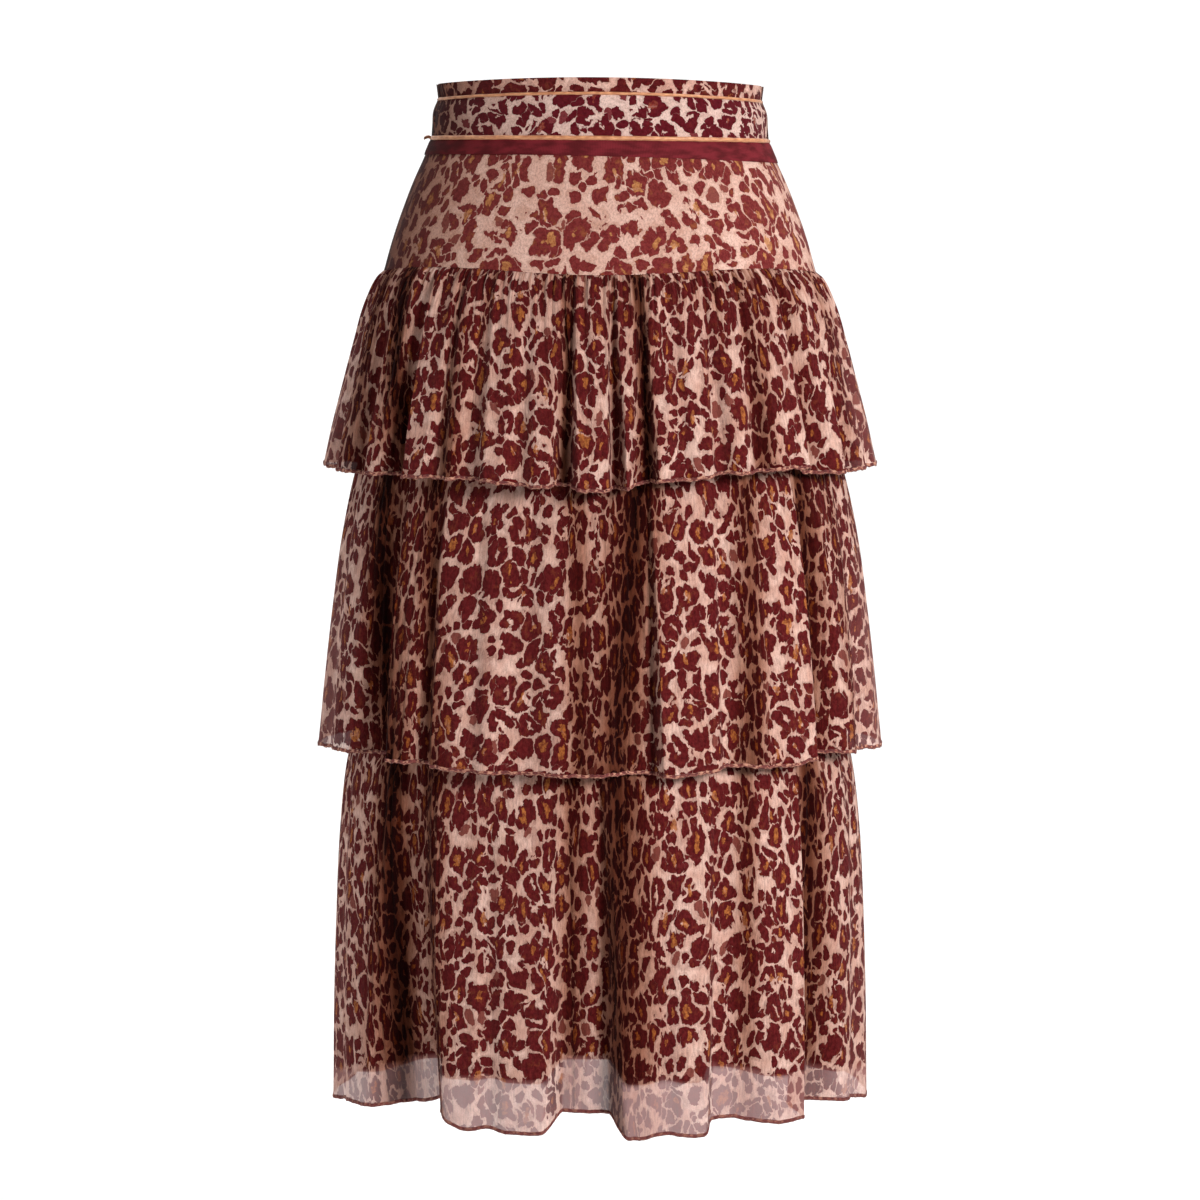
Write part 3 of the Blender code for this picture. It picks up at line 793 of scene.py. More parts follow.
# %% Inks
Inks = namedtuple("Inks", "ground spot centre faded bleed")
SKIRT_INKS = Inks(
    ground=(srgb(203, 155, 138), srgb(226, 187, 172)), spot=(srgb(70, 12, 14), srgb(99, 29, 30)),
    centre=(srgb(116, 52, 34), srgb(186, 114, 56)), faded=srgb(138, 78, 68), bleed=0.34,
)
YOKE_INKS = SKIRT_INKS._replace(
    ground=(srgb(203, 159, 143), srgb(217, 178, 163)), spot=(srgb(102, 32, 32), srgb(124, 49, 47)),
    centre=(srgb(146, 84, 48), srgb(202, 142, 88)), bleed=0.3,
)
BAND_INKS = Inks(
    ground=(srgb(202, 166, 153), srgb(220, 188, 176)), spot=(srgb(78, 9, 18), srgb(96, 24, 33)),
    centre=(srgb(104, 28, 28), srgb(150, 74, 56)), faded=srgb(132, 60, 62), bleed=0.15,
)


def inked(finish, marks, inks):
    """The inks where the marks are, each a little mottled, with a rubbed brown cast here and there."""
    mottle = finish.step(finish.noise(marks.place, 7.0, 3.0, 0.7), 0.3, 0.7)
    drift = finish.step(finish.noise(marks.place, 1.1, 3.0, 0.6), 0.3, 0.7)
    aside = finish.vector("ADD", marks.place, (9.0, 4.0, 2.0))
    rubbed = finish.step(finish.noise(aside, 3.2, 3.0, 0.65), 0.54, 0.68) * 0.5
    ground = finish.blend(inks.ground[0], inks.ground[1], drift)
    ground = finish.blend(ground, inks.centre[0], marks.bled * inks.bleed)
    spot = finish.blend(inks.spot[0], inks.spot[1], mottle)
    spot = finish.blend(spot, inks.centre[0], rubbed)
    spot = finish.blend(spot, inks.faded, marks.faded * 0.6)
    warm = finish.blend(inks.centre[0], inks.centre[1], mottle)
    return finish.blend(finish.blend(ground, spot, marks.spots), warm, marks.centre * 0.85)


print("inks of each print:", Inks._fields)

# %% [markdown]
# ## Chiffon and smoother cloth
# The ruffles are crinkled chiffon, with fine uneven lines down the cloth over a pebbly weave. The yoke,
# the waistband, the heading and the lining are smoother. Where chiffon lies over the lining almost no
# light comes through. Where it hangs alone we see it against what is behind, its ground more than its
# inks, and the print looks thinner and cooler. In a fold the cloth lies doubled, so it closes again.

# %% Printed cloth
Opacity = namedtuple("Opacity", "ground spot sheer_ground sheer_spot")
CHIFFON = Opacity(0.86, 0.97, 0.87, 0.88)
SHEER_CAST = srgb(160, 112, 108)
THIN_PRINT = 2.5
CRINKLE_SHADE = (0.018, 0.005, 0.005, 1.0)
CRINKLE_SHADING = 0.42
LONG_CRINKLES, PEBBLES = 130.0, 480.0


def crepe(finish, lengthwise):
    """Height of the grain, and how light it looks. Fine threads run down the cloth."""
    where = finish.cloth()
    lines = finish.noise(finish.stretched(where, 640.0, lengthwise, 1.0), 1.0, 3.0, 0.65)
    weave = finish.noise(finish.stretched(where, 1500.0, 1000.0, 1.0), 1.0)
    return lines * 0.7 + weave * 0.4, lines * 0.7 + weave * 0.3


def printed_cloth(name, cell, full, inks, opacity=None, crinkle=1.0, pebbly=False, **print_settings):
    """A printed cloth. Only chiffon has an opacity, and lets light through where it is marked sheer."""
    finish = ClothFinish(name)
    sheer = finish.marked("sheer") if opacity else 0.0
    marks = leopard(finish, cell, full - sheer * THIN_PRINT, **print_settings)
    height, grain = crepe(finish, PEBBLES if pebbly else LONG_CRINKLES)
    colour = inked(finish, marks, inks)
    colour = finish.blend(colour, CRINKLE_SHADE, finish.step(grain, 0.60, 0.32) * CRINKLE_SHADING)
    # painted shade in folds, gather valleys and seams, and towards the side seams of the smooth pieces
    colour = finish.in_hollows(colour)
    if opacity:
        ink = finish.most(marks.spots, marks.centre)
        colour = finish.blend(colour, SHEER_CAST, sheer * (ink * 0.22 + 0.3))
        lined = ink * (opacity.spot - opacity.ground) + opacity.ground
        bare = ink * (opacity.sheer_spot - opacity.sheer_ground) + opacity.sheer_ground + grain * 0.12 - 0.06
        let_through = 1 - (lined + (bare - lined) * sheer)
        finish.join(finish.shader, {"Alpha": 1 - let_through * (1 - finish.marked("hollow"))})
    return finish.finished({
        "Base Color": colour, "Roughness": 0.9, "Specular IOR Level": 0.03,
        "Sheen Weight": 0.07 if pebbly else 0.03, "Sheen Roughness": 0.5,
        "Normal": finish.relief(crinkle, 0.0007, height),
    })


print("chiffon lets through", round(1 - CHIFFON.ground, 2), "of the light behind its ground")

# %% [markdown]
# ## The seven prints
# Each cloth has its own seed, so no two pieces carry the same rosettes. Gathers narrow a print, so on the
# ruffles the rosettes are smaller across and stand taller than on the smooth yoke. One cloth for all
# would save six calls, but a skirt cut from one roll never shows the same spots twice.

# %% Prints
SMOOTH_PRINT = {"pebbly": True, "crinkle": 0.4}
STIFF_PRINT = {"pebbly": True, "crinkle": 0.5}
chiffon_1 = printed_cloth("chiffon_ruffle_1", 0.0208, 3.0, SKIRT_INKS, CHIFFON, seed=3.0, tall=1.2)
chiffon_2 = printed_cloth("chiffon_ruffle_2", 0.0188, 3.1, SKIRT_INKS, CHIFFON, seed=11.0, tall=1.3)
chiffon_3 = printed_cloth("chiffon_ruffle_3", 0.0180, 3.1, SKIRT_INKS, CHIFFON, seed=23.0, tall=1.35)
yoke_cloth = printed_cloth(
    "yoke_print", 0.0238, 1.8, YOKE_INKS, seed=5.0, tall=1.1, warmth=0.7, **STIFF_PRINT,
)
heading_cloth = printed_cloth("heading_print", 0.0195, 3.6, SKIRT_INKS, seed=31.0, **STIFF_PRINT)
band_cloth = printed_cloth(
    "band_print", 0.0195, 3.1, BAND_INKS, seed=17.0, tall=1.0, warmth=0.15, open_rings=0.8, **SMOOTH_PRINT,
)
lining_cloth = printed_cloth("lining_print", 0.0185, 1.5, SKIRT_INKS, seed=41.0, **SMOOTH_PRINT)
prints = (chiffon_1, chiffon_2, chiffon_3, yoke_cloth, heading_cloth, band_cloth, lining_cloth)
print("prints:", [cloth.name for cloth in prints])

# %% [markdown]
# ## Plain finishes
# The pipings are bias satin over cord: a soft shine and fine slanting lines, because the cloth is cut on
# the bias. The ribbon is petersham, matt with upright ribs. The rolled hems take the print's colours
# but look darker, as three layers of chiffon lie on each other there.

# %% Satin, ribbon and hem finishes
SATIN_LINES, PETERSHAM_RIBS = 5200.0, 5600.0


def satin(name):
    finish = ClothFinish(name)
    where = finish.cloth()
    along, round_it, _ = finish.parts(where)
    slant = finish.sum("SINE", (along + round_it) * SATIN_LINES)
    blotch = finish.noise(finish.stretched(where, 160.0, 400.0, 1.0), 1.0, 2.0)
    colour = finish.blend(srgb(176, 108, 70), srgb(222, 158, 112), finish.step(blotch, 0.3, 0.7))
    return finish.finished({
        "Base Color": colour, "Roughness": 0.38, "Sheen Weight": 0.1,
        "Normal": finish.relief(0.25, 0.0002, slant + blotch * 2.0),
    })


def petersham(name):
    finish = ClothFinish(name)
    where = finish.cloth()
    along, _, _ = finish.parts(where)
    ribs = finish.sum("SINE", along * PETERSHAM_RIBS) * 0.5 + 0.5
    cloud = finish.noise(finish.stretched(where, 60.0, 160.0, 1.0), 1.0, 3.0)
    colour = finish.blend(srgb(84, 19, 24), srgb(118, 33, 41), finish.step(cloud, 0.35, 0.65))
    colour = finish.blend(colour, srgb(64, 10, 16), ribs * 0.3)
    return finish.finished({
        "Base Color": finish.in_hollows(colour), "Roughness": 0.8, "Specular IOR Level": 0.12,
        "Normal": finish.relief(0.3, 0.0003, ribs + cloud * 0.6),
    })


def rolled_hem(name, seed, light):
    """A hem's cloth. light is how clearly the pale ground of the print shows in it."""
    finish = ClothFinish(name)
    where = finish.cloth()
    flecks = finish.noise(finish.stretched(where, 420.0, 900.0, 1.0), 1.0, 2.0, 0.6)
    place = finish.vector("ADD", finish.stretched(where, 260.0, 260.0, 1.0), (seed, 0.0, 0.0))
    ground = finish.step(finish.noise(place, 1.0), 0.50, 0.58)
    colour = finish.blend(srgb(70, 16, 20), srgb(122, 54, 46), finish.step(flecks, 0.35, 0.7))
    colour = finish.blend(colour, srgb(202, 146, 120), ground * light)
    return finish.finished({
        "Base Color": colour, "Roughness": 0.85, "Normal": finish.relief(0.5, 0.0004, flecks),
    })


copper_satin = satin("copper_satin_bias")
burgundy_ribbon = petersham("burgundy_petersham")
hem_cloth = rolled_hem("rolled_hem", 2.0, 0.65)
low_hem_cloth = rolled_hem("low_rolled_hem", 7.0, 0.25)
plain = (copper_satin, burgundy_ribbon, hem_cloth, low_hem_cloth)
print("plain finishes:", [cloth.name for cloth in plain])

# %% [markdown]
# ## Elastic and tucks
# The back of the waist is drawn in with elastic, so it carries upright gathers all the way down, and the
# front's ends pucker a little where the elastic begins. Towards the side seams shade is painted into the
# cloth, most of all at the wearer's right, and a thin dark line marks each side seam.

# %% Elastic and tucks
NO_FADING = 1e6
ELASTIC_GATHERS = [Gather(20, 3.0, NO_FADING, 5.0), Gather(41, 0.9, NO_FADING, 8.0)]
BELOW_STITCHES = 50.0
BACK_EASE = 0.3
PUCKER_REACH, TUCK_REACH = 0.07, 0.035
END_TUCK = 2.2
RIGHT_SEAM, LEFT_SEAM = -90, 90
# How far round from each side seam the painted shade reaches, in degrees, and the width of the dark seam
# line.
RIGHT_SHADE_REACH, LEFT_SHADE_REACH, SEAM_LINE = 36, 9, 0.35
DARK_RIGHT, DARK_LEFT, DARK_SEAM = 0.97, 0.4, 0.6


def painted_side_shade(angle):
    """Painted shade towards the side seams, most of all at the wearer's right, with a thin dark line at each
    seam.
    """
    from_right, from_left = degrees_from(RIGHT_SEAM, angle), degrees_from(LEFT_SEAM, angle)
    seams = bell(from_right, SEAM_LINE) + bell(from_left, SEAM_LINE)
    open_at_right = 1 - DARK_RIGHT * bell(from_right, RIGHT_SHADE_REACH)
    open_at_left = 1 - DARK_LEFT * bell(from_left, LEFT_SHADE_REACH)
    return 1 - open_at_right * open_at_left * (1 - DARK_SEAM * seams)


def on_elastic(across):
    """How far the gathers of the elastic stand out."""
    return gathered(ELASTIC_GATHERS, across, np.full_like(across, BELOW_STITCHES))


def elastic(panel, height, share, across):
    """Gathers of the elastic: all over the back, and small puckers at the ends of the front."""
    if panel == "back":
        return on_elastic(across) * height + BACK_EASE
    fine = wander(across * 150, 2.0) + 0.6 * wander(across * 60 + share * 3, 5.0)
    soft = 0.25 * wander(across * 17 + share * 2, 7.0)
    puckers = 0.9 * bell(from_seam(across), PUCKER_REACH) * fine + soft
    tucked = bell(from_seam(across), TUCK_REACH) * (4 * (share - 0.5) ** 2)
    return height * (puckers * smooth(from_seam(across) / SEAM_HOLD) - END_TUCK * tucked)


print(f"hollow at the wearer's right, front and left: {np.round(painted_side_shade(np.array([-90, 0, 90])), 2)}")

# %% [markdown]
# ## Smooth panels: heading, waistband, yoke
# These are flat strips taken round the body, so one function makes all three from a table. The strips
# on the elastic are cut longer than they lie. The yoke only swells a little. Each strip's own cut is
# measured on its points.

# %% Smooth panels
Strip = namedtuple("Strip", "name sections top foot rows columns ring puckers cloth slot rests_on")
STRIPS = [
    Strip("heading", HEADING, HEADING_TOP, HEADING_FOOT, 10, 300, HEADING[0], 1.0,
          heading_cloth, "print_chiffon", "waistband"),
    Strip("waistband", WAISTBAND, UPPER_SEAM, LOWER_SEAM, 22, 320, WAISTBAND[2], 0.9,
          band_cloth, "contrast_print", "wearer"),
    Strip("yoke", YOKE, LOWER_SEAM, YOKE_SEAM, 50, 200, YOKE[-1], 0.0,
          yoke_cloth, "print_chiffon", "waistband"),
]
ELASTIC_FULLNESS = 1.25
YOKE_SWELL = 0.35


def make_strip(strip, panel):
    share, across = grid(strip.rows, strip.columns)
    angle = mix(*PANELS[panel], across)
    top, foot = level_at(strip.top, angle), level_at(strip.foot, angle)
    if strip.puckers:
        out = elastic(panel, strip.puckers, share, across)
        held = "gathered" if panel == "back" else "stretched"
    else:
        out = YOKE_SWELL * wander(across * 13 + share * 2, 1.0) * share
        held = "hung"
    x, y = on_form(strip.sections, angle, share, out)
    points = np.stack([x, y, mix(top, foot, share)], -1) * MM
    width = half_girth(strip.ring) * (ELASTIC_FULLNESS if held == "gathered" else 1.0)
    up = (1 - share) * np.mean(top - foot) * MM
    # hollow carries the shade painted towards the side seams
    piece = panel_mesh(f"{strip.name}_{panel}_cloth", points, across * width, up, hollow=painted_side_shade(angle))
    dress(piece, strip.cloth, [f"{strip.name}_{panel}"])
    fall = float(np.mean(np.linalg.norm(np.diff(points, axis=0), axis=2).sum(0)))
    rests_on = strip.rests_on if strip.rests_on == "wearer" else f"{strip.rests_on}_{panel}"


for panel in PANELS:
    for strip in STRIPS:
        make_strip(strip, panel)

# %% [markdown]
# ## Ribbon
# The ribbon is sewn flat over the top of the yoke. A strip of its own, shrunk on to the yoke, would also
# do, but here its points are the yoke's own, moved out, so that it can't float or sink in. Its woven
# edges turn in a little.

# %% Ribbon
RIBBON_OUT = 1.2
RIBBON_EDGE = 0.5


def ribbon(panel):
    share, across = grid(8, 240)
    angle = mix(*PANELS[panel], across)
    yoke_top, yoke_foot = level_at(LOWER_SEAM, angle), level_at(YOKE_SEAM, angle)
    z = mix(level_at(RIBBON_TOP, angle), level_at(RIBBON_FOOT, angle), share)
    edge = RIBBON_EDGE * smooth(np.abs(2 * share - 1)) ** 8
    out = RIBBON_OUT - edge + 0.12 * wander(across * 40, 1.0)
    x, y = on_form(YOKE, angle, (yoke_top - z) / (yoke_top - yoke_foot), out)
    points = np.stack([x, y, z], -1) * MM
    length = half_girth(YOKE[1])
    # the ribbon takes a little less of the shade painted towards the side seams
    hollow = painted_side_shade(angle) * 0.9
    piece = panel_mesh(f"ribbon_{panel}_band", points, across * length, z * MM, hollow=hollow)
    dress(piece, burgundy_ribbon, [f"ribbon_{panel}"])


for panel in PANELS:
    ribbon(panel)

# %% [markdown]
# ## Pipings
# A piping is a cord wrapped in a bias strip and caught in the seam, so it stands proud of the seam line.
# A tube along the seam is all it needs. It follows the elastic's gathers over the back, and near the
# side seams it is tucked in. The lower one ends in a short tail at one side seam.

# %% Pipings
PIPING_TUCK = {"front": 2.2, "back": 1.2}
PIPING_POINTS = 200
UPPER_PIPING, LOWER_PIPING, TAIL = 1.2, 1.8, 1.3


def piping(name, panel, ring, level, radius):
    across = np.linspace(0, 1, PIPING_POINTS)
    angle = mix(*PANELS[panel], across)
    ridge = 0.0
    if panel == "back":
        ridge = on_elastic(across) * 0.5 + 0.5
    tuck = PIPING_TUCK[panel] * bell(from_seam(across), TUCK_REACH)
    out = 0.4 * radius + ridge + 0.12 * wander(across * 90, radius) - tuck
    x, y = on_form([ring._replace(share=0.0), ring._replace(share=1.0)], angle, 0 * angle, out)
    z = level_at(level, angle) + 0.15 * wander(across * 70, 3 + radius)
    turn = np.radians(angle)
    outward = np.stack([np.sin(turn), -np.cos(turn), 0 * turn], -1)
    centres = np.stack([x, y, z], -1) * MM
    piece = tube_mesh(f"{name}_{panel}_cord", centres, outward, (radius * MM, radius * MM))
    dress(piece, copper_satin, [f"{name}_{panel}"])


def piping_tail():
    """The end of the lower piping, which sticks out of the wearer's right side seam."""
    share = np.linspace(0, 1, 7)
    centres = np.stack([-131 - 6.5 * share, -2 - 1.5 * share, -21.3 + 1.6 * np.sin(3 * share)], -1) * MM
    outward = np.tile([0.22, -0.98, 0.0], (len(share), 1))
    dress(tube_mesh("piping_tail", centres, outward, (TAIL * MM, TAIL * MM)), copper_satin)


piping_tail()
for panel in PANELS:
    piping("piping_upper", panel, WAISTBAND[0], UPPER_SEAM, UPPER_PIPING)
    piping("piping_lower", panel, WAISTBAND[-1], LOWER_SEAM, LOWER_PIPING)

# %% [markdown]
# ## The three ruffles as a table
# All ruffles are made by one function from a row each: its rings, folds, shades and hem, the level it
# hangs from, how far its hem lifts in the folds, its gathers, and how much more cloth it has than its
# hem is long. Only the top ruffle's gathers show, so it gets fine ones and more threads.

# %% Ruffle table
Ruffle = namedtuple("Ruffle", (
    "name sections folds shades hem top lift gathers pleats frill see_through rows columns"
    " chiffon fullness hem_finish rests_on"
))
RUFFLES = [
    Ruffle("ruffle1", RUFFLE_1, FOLDS_1, SHADES_1, HEM_1, YOKE_SEAM, 0.12, RUFFLE_GATHERS, 620, 0.7, 0.35,
           64, 900, chiffon_1, 1.16, hem_cloth, "yoke"),
    Ruffle("ruffle2", RUFFLE_2, FOLDS_2, SHADES_2, HEM_2, RUFFLE_2_TOP, 0.12, HIDDEN_GATHERS, 560, 0.7, 0.55,
           76, 540, chiffon_2, 1.16, hem_cloth, "lining"),
    Ruffle("ruffle3", RUFFLE_3, FOLDS_3, SHADES_3, HEM_3, RUFFLE_3_TOP, 0.76, HIDDEN_GATHERS, 560, 0.25, 0.15,
           88, 540, chiffon_3, 1.14, low_hem_cloth, "lining"),
]
print("threads drawn down each ruffle's front:", [ruffle.columns for ruffle in RUFFLES])

# %% [markdown]
# ## Where light comes through
# The lining's hem ends above the lowest ruffle's, and below it the chiffon is bare. At the outer sides
# of every ruffle nothing lies close behind either. The flank of a fold is seen edge on, so there the
# cloth looks closed. How sheer a point is rides on the mesh, as only the mesh knows what hangs behind.

# %% See-through cloth
DEEPER = 1.3
LINING_LIFT = 0.95
SIDE_DIP = 16.0
OUTER_SIDES = 0.91
BARE_ABOVE, BARE_FADE = 1.5, 2.0


def lining_hem_at(angle):
    """The lining's hem rises in the folds and dips at the side seams."""
    share = (RUFFLE_3_TOP.side - LINING_HEM.side) / (RUFFLE_3_TOP.side - HEM_3[0].height)
    turn = np.radians(angle)
    lift = LINING_LIFT * drawn_in(all_round(FOLDS_3), angle, share) * np.cos(turn) ** 2
    return level_at(LINING_HEM, angle) + lift - SIDE_DIP * np.sin(turn) ** 8


def sheer_at(ruffle, angle, share, z, drop):
    """0 to 1 for how much light comes through a ruffle. drop is how far its folds are drawn in."""
    side_on = np.abs(np.sin(np.radians(angle)))
    sides = smooth((side_on - OUTER_SIDES) / (1 - OUTER_SIDES)) * smooth((share - 0.2) / 0.6)
    past_lining = smooth((lining_hem_at(angle) + BARE_ABOVE - z) / BARE_FADE)
    edge_on = smooth((np.abs(np.gradient(drop, axis=1)) - 0.2) / 0.8)
    return np.maximum(past_lining, ruffle.see_through * sides) * (1 - 0.8 * edge_on)


print(f"the lining's hem at the centre front: {lining_hem_at(0.0):.0f} mm")

# %% [markdown]
# ## Threads, hem line and hollows of a ruffle
# A ruffle's threads run down from the seam. At the top they are spread evenly, because that is how a
# gathering thread spreads them. At the hem they lie at equal lengths along the wavy edge. Between the
# two they move over smoothly, so the print narrows in the gathers and on the flanks of the folds, as it
# does on real cloth. Hollows are the shut folds, the valleys between gathers, and the seams, and shade
# is painted into the cloth there.

# %% Threads, hem line and hollows
EDGE_SAMPLES = 3000
TUCK_FADE, VALLEY_FADE = 24.0, 70.0
VALLEY_DEPTH, DARKEST_VALLEY = 2.4, 0.92
SEAM_WIDTH = 0.002


def even_angles(plan_of, panel, columns):
    """Angles that lie at equal lengths along a wavy edge, and that edge's length in mm."""
    fine = np.linspace(*PANELS[panel], EDGE_SAMPLES)
    x, y = plan_of(fine)
    length = np.concatenate([[0], np.cumsum(np.hypot(np.diff(x), np.diff(y)))])
    return np.interp(np.linspace(0, length[-1], columns), length, fine), length[-1]


def threads(ruffle, folds, panel):
    """Every thread's angle at the seam and at the hem, each with the length of that edge."""
    def seam(angle):
        return on_form(ruffle.sections, angle, 0 * angle, 0 * angle)

    def hem(angle):
        end = np.ones_like(angle)
        leaning = angle + rolled_over(folds, angle, end)
        return on_form(ruffle.sections, leaning, end, -DEEPER * drawn_in(folds, angle, end))

    return even_angles(seam, panel, ruffle.columns), even_angles(hem, panel, ruffle.columns)


def hem_line(ruffle, folds, angle, across, loose):
    """Height of the hem: it lifts in the folds and ripples, but not at the side seams."""
    lift = ruffle.lift * np.cos(np.radians(angle)) ** 2 * drawn_in(folds, angle, np.ones_like(angle))
    ripple = 0.5 * wander(across * 75, 1.0 + ruffle.lift) + ruffle.frill * wander(across * 310, 3.0)
    return hem_height(ruffle.hem, angle) + lift + ripple * loose


def hollows(ruffle, across, below, puffs, shade_and_bunching):
    """0 to 1 for how deep each point lies between its neighbours, and so how dark the shade painted there is.
    """
    # painted shade in the tight pleats under the seam, in the valleys between gathers and along the side
    # seams
    tight = np.clip(-2.0 * wander(across * ruffle.pleats * 0.9, 3.0), 0, 1) * np.exp(-below / TUCK_FADE)
    valleys = np.clip(-puffs / VALLEY_DEPTH, 0, DARKEST_VALLEY) ** 1.5 * np.exp(-below / VALLEY_FADE)
    seams = bell(from_seam(across), SEAM_WIDTH)
    return 1 - (1 - shade_and_bunching) * (1 - valleys) * (1 - 0.5 * tight) * (1 - 0.5 * seams)


print("places measured along each edge:", EDGE_SAMPLES)

# %% [markdown]
# ## Laying out a ruffle
# Every point starts on the form. It is drawn in at the folds, puffed out by the gathers, and moved by
# small ripples and by crowded pleats where folds shut. The top ruffle is tucked up under the yoke's
# edge. Near the side seams the ripples die away, so that front and back meet.

# %% Points of a ruffle
PLEAT_HEIGHT = 1.3
SIDE_HOLD = 0.02
YOKE_TUCK, YOKE_TUCK_REACH = 1.3, 1.4
YOKE_CATCH, YOKE_CATCH_REACH = 0.7, 2.0


def ruffle_points(ruffle, folds, angle, share, across):
    """The points of a ruffle in mm, with how far they are drawn in and how hollow they lie."""
    loose = smooth(from_seam(across) / SIDE_HOLD)
    top = level_at(ruffle.top, angle)
    z = mix(top, hem_line(ruffle, folds, angle, across, loose), share)
    below = top - z
    drop = drawn_in(folds, angle, share)
    puffs = gathered(ruffle.gathers, across, below)
    # painted fold shade from the shade tables; the cloth also crowds into pleats there
    shade_and_bunching = fold_shade_and_crowding(all_round_shades(ruffle.shades), angle, share)
    ripples = 0.45 * wander(across * 42 + share * 3, 2.0) + 0.5 * wander(across * 95 + share, 6.0) * share**2
    ripples = ripples + PLEAT_HEIGHT * shade_and_bunching * wander(across * ruffle.pleats, 8.0)
    out = puffs - DEEPER * drop + ripples * loose
    if ruffle.rests_on == "yoke":
        out = out - YOKE_TUCK * bell(below, YOKE_TUCK_REACH)
        z = z + YOKE_CATCH * (1 - smooth(below / YOKE_CATCH_REACH))
    x, y = on_form(ruffle.sections, angle + rolled_over(folds, angle, share) * loose, share, out)
    return np.stack([x, y, z], -1), drop, shade_and_bunching, hollows(ruffle, across, below, puffs, shade_and_bunching)


print("the top ruffle tucks in under the yoke by", YOKE_TUCK, "mm")

# %% [markdown]
# ## Ruffles and their rolled hems
# A hem is rolled and stitched, so a thin flat tube runs along the last row of points. The print follows
# the threads: its place across is crowded where pleats shut, its place down is measured along each
# thread. A print projected from the front would smear on the flanks of the folds.

# %% Ruffles
HEM_HEIGHT = 3.0
HEM_THICKNESS = 0.55
HEM_RAISED = 0.25
CROWDING = 1.1
ROWS_NEAR_TOP = 1.25
EARLY, EVENLY, EARLY_SPEED = 0.55, 0.45, 1.6


def edge_tube(name, edge, thickness, height):
    """A rolled hem along a cloth's last row of points, in mm thick and high."""
    along = np.gradient(edge, axis=0)
    outward = np.stack([along[:, 1], -along[:, 0], np.zeros(len(along))], -1)
    outward /= np.linalg.norm(outward, axis=1)[:, None]
    return tube_mesh(name, edge, outward, (thickness * MM, height / 2 * MM), HEM_SIDES)


def make_ruffle(ruffle, panel):
    folds = all_round(ruffle.folds)
    (at_seam, seam_length), (at_hem, hem_length) = threads(ruffle, folds, panel)
    share, across = grid(ruffle.rows, ruffle.columns)
    share = share**ROWS_NEAR_TOP
    angle = mix(at_seam, at_hem, smooth(share * EARLY_SPEED) * EARLY + share * EVENLY)
    points, drop, shade_and_bunching, hollow = ruffle_points(ruffle, folds, angle, share, across)
    sheer = sheer_at(ruffle, angle, share, points[..., 2], drop)
    points = points * MM
    fall = np.cumsum(np.linalg.norm(np.diff(points, axis=0), axis=2), axis=0)
    down = np.concatenate([np.zeros((1, ruffle.columns)), fall])
    width = hem_length * MM * ruffle.fullness
    crowding = np.cumsum(1 + CROWDING * shade_and_bunching, axis=1)
    crowding = crowding - crowding[:, :1]
    piece = panel_mesh(
        f"{ruffle.name}_{panel}", points, crowding / crowding[:, -1:] * width, -down,
        sheer=sheer, hollow=hollow * (1 - 0.5 * sheer),
    )
    dress(piece, ruffle.chiffon, [f"{ruffle.name.replace('ruffle', 'tier')}_{panel}"])
    edge = points[-1] + np.array([0, 0, HEM_HEIGHT * HEM_RAISED * MM])
    hem = edge_tube(f"{ruffle.name}_hem_{panel}", edge, HEM_THICKNESS, HEM_HEIGHT)
    dress(hem, ruffle.hem_finish)
    print(f"{piece.name}: {hem_length:.0f} mm hem on a {seam_length:.0f} mm seam")


for ruffle in RUFFLES:
    for panel in PANELS:
        make_ruffle(ruffle, panel)

# %% [markdown]
# ## Lining
# A slip hangs inside and carries the two lower ruffles. It is seen only through the lowest ruffle, where
# its hem ends above the ruffle's own and leaves a band of bare chiffon. It follows the lowest ruffle's
# folds, as the two hang together.

# %% Lining
LINING_FULLNESS = 1.12
LINING_HEM_THICKNESS, LINING_HEM_HEIGHT = 0.6, 3.0


def make_lining(panel):
    share, across = grid(110, 300)
    angle = mix(*PANELS[panel], across)
    z = mix(level_at(LINING_TOP, angle), lining_hem_at(angle), share)
    past_seam = np.clip((RUFFLE_3_TOP.side - z) / (RUFFLE_3_TOP.side - HEM_3[0].height), 0, 1)
    x, y = on_form(LINING, angle, share, -DEEPER * drawn_in(all_round(FOLDS_3), angle, past_seam))
    points = np.stack([x, y, z], -1) * MM
    width = half_girth(LINING[-1]) * LINING_FULLNESS
    piece = panel_mesh(f"lining_{panel}_cloth", points, across * width, (z - z[0].mean()) * MM)
    dress(piece, lining_cloth, [f"lining_{panel}"])
    hem = edge_tube(f"lining_hem_{panel}", points[-1], LINING_HEM_THICKNESS, LINING_HEM_HEIGHT)
    dress(hem, low_hem_cloth)


for panel in PANELS:
    make_lining(panel)

# %% [markdown]
# ## Camera
# A long lens from a few metres away keeps the skirt's sides nearly parallel, as in a catalogue. A short
# lens close by would make the waist look large and the hem small.

# %% Camera
CAMERA_PLACE = (0.0, -3.5, -0.059)
CAMERA_TILT = 5.3
LENS, SENSOR = 133.48, 36.0

scene = bpy.context.scene
camera = bpy.data.objects.new("camera", bpy.data.cameras.new("camera"))
scene.collection.objects.link(camera)
camera.location = CAMERA_PLACE
camera.rotation_euler = (math.radians(90 - CAMERA_TILT), 0.0, 0.0)
camera.data.sensor_width = SENSOR
camera.data.lens = LENS
scene.camera = camera
print("the camera stands", -CAMERA_PLACE[1], "m in front")

# %% [markdown]
# ## Floor and wall
# The floor is pale and bends up into a pale wall, so nothing but the skirt draws the eye. Without the
# bend there would be a line behind the hem.

# %% Floor and wall
FLOOR_HEIGHT, FLOOR_FRONT, FLOOR_SIDE = -1.05, -7.0, 9.0
WALL, WALL_TOP, BEND = 4.0, 5.0, 1.5
BEND_STEPS = 12

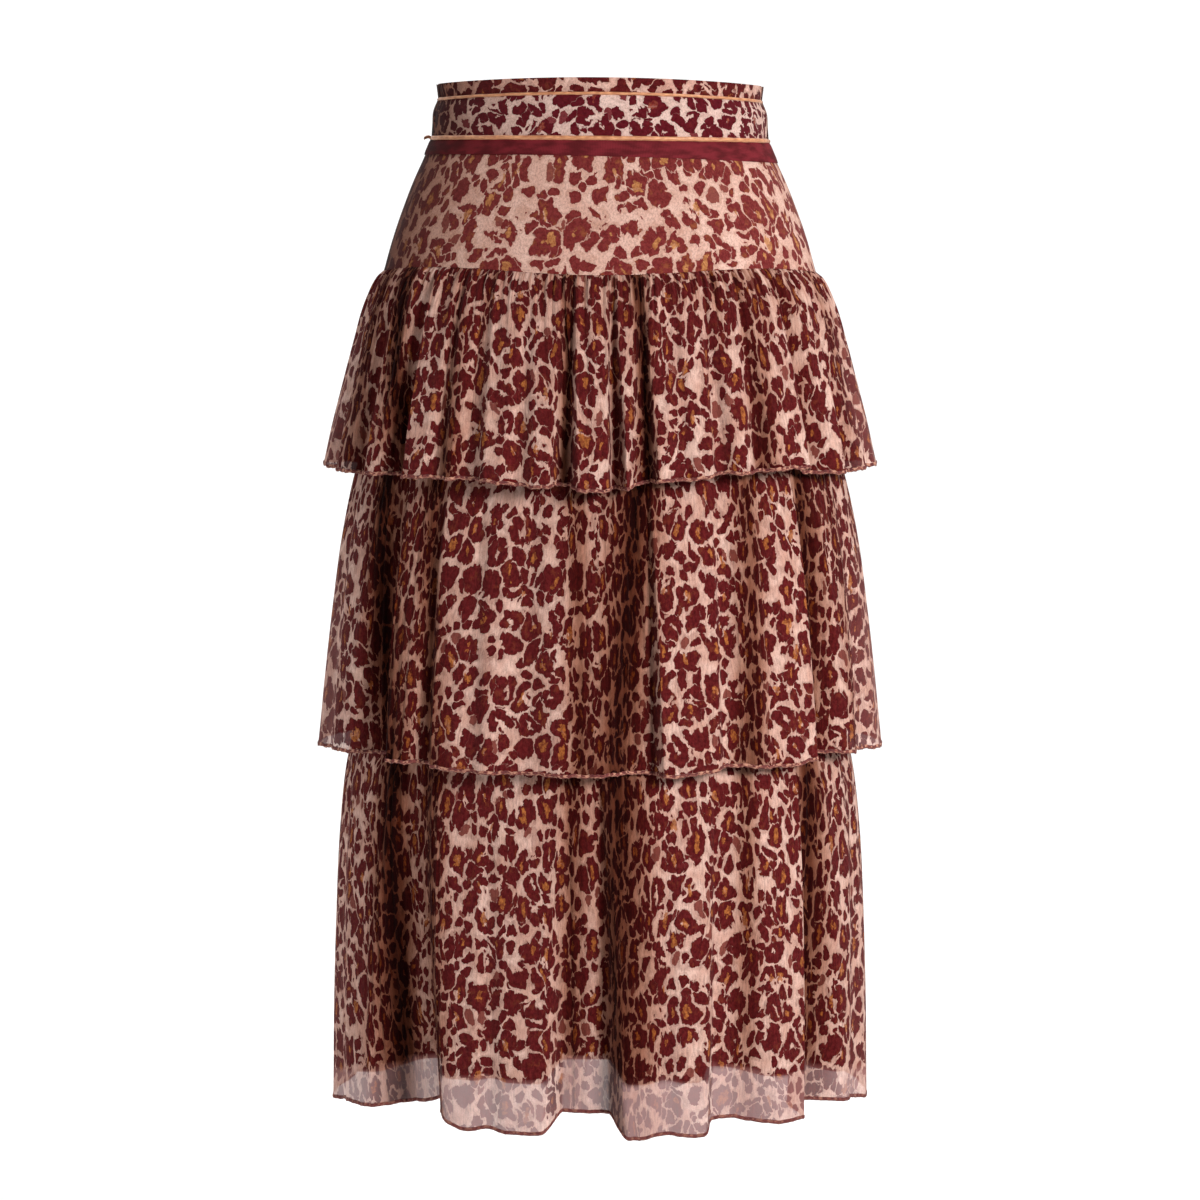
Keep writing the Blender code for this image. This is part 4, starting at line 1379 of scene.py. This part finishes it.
profile = [(FLOOR_FRONT, FLOOR_HEIGHT), (WALL - BEND, FLOOR_HEIGHT)]
for step in range(1, BEND_STEPS + 1):
    turn = math.pi / 2 * step / BEND_STEPS
    profile.append((WALL - BEND + BEND * math.sin(turn), FLOOR_HEIGHT + BEND - BEND * math.cos(turn)))
profile.append((WALL, WALL_TOP))
corners = [(x, y, z) for y, z in profile for x in (-FLOOR_SIDE, FLOOR_SIDE)]
strips = [(2 * i, 2 * i + 1, 2 * i + 3, 2 * i + 2) for i in range(len(profile) - 1)]
floor_mesh = bpy.data.meshes.new("floor")
floor_mesh.from_pydata(corners, [], strips)
floor_mesh.shade_smooth()
floor = bpy.data.objects.new("floor", floor_mesh)
scene.collection.objects.link(floor)
pale = Finish("pale_paper")
floor_mesh.materials.append(pale.finished({
    "Base Color": (0.93, 0.93, 0.93, 1.0), "Roughness": 1.0, "Specular IOR Level": 0.0,
}))
print("floor and wall:", len(strips), "strips")

# %% [markdown]
# ## Light
# One large soft light stands in front, above and to the wearer's left, and gives the folds their form.
# A small one low on the other side opens the deepest shadows there. A wide one washes the wall behind,
# and the white surroundings fill in the rest.

# %% Light
def soft_light(name, place, target, size, watts, spread=180):
    """A rectangular light. A grid on its front keeps its beam within spread degrees."""
    light = bpy.data.lights.new(name, "AREA")
    light.shape = "RECTANGLE"
    light.size, light.size_y = size
    light.energy = watts
    light.spread = math.radians(spread)
    made = bpy.data.objects.new(name, light)
    scene.collection.objects.link(made)
    made.location = place
    aim = [t - p for t, p in zip(target, place)]
    yaw = math.atan2(aim[1], aim[0])
    made.rotation_euler = (math.atan2(math.hypot(aim[0], aim[1]), -aim[2]), 0.0, yaw - math.pi / 2)


soft_light("key", (1.85, -2.42, 0.62), (0.0, 0.0, -0.46), size=(0.9, 0.9), watts=11.4, spread=50)
soft_light("low_left", (-1.9, -0.75, -0.75), (-0.2, 0.0, -0.6), size=(0.5, 0.9), watts=2.3, spread=70)
soft_light("wall_wash", (0.0, 0.9, 2.4), (0.0, 3.2, -0.6), size=(4.0, 1.2), watts=155.0)
scene.world = bpy.data.worlds.new("studio")
scene.world.use_nodes = True
sky = scene.world.node_tree.nodes["Background"]
sky.inputs["Color"].default_value = (1.0, 1.0, 1.0, 1.0)
sky.inputs["Strength"].default_value = 0.14
scene.view_settings.view_transform = "Standard"
print("lights:", [thing.name for thing in scene.objects if thing.type == "LIGHT"])
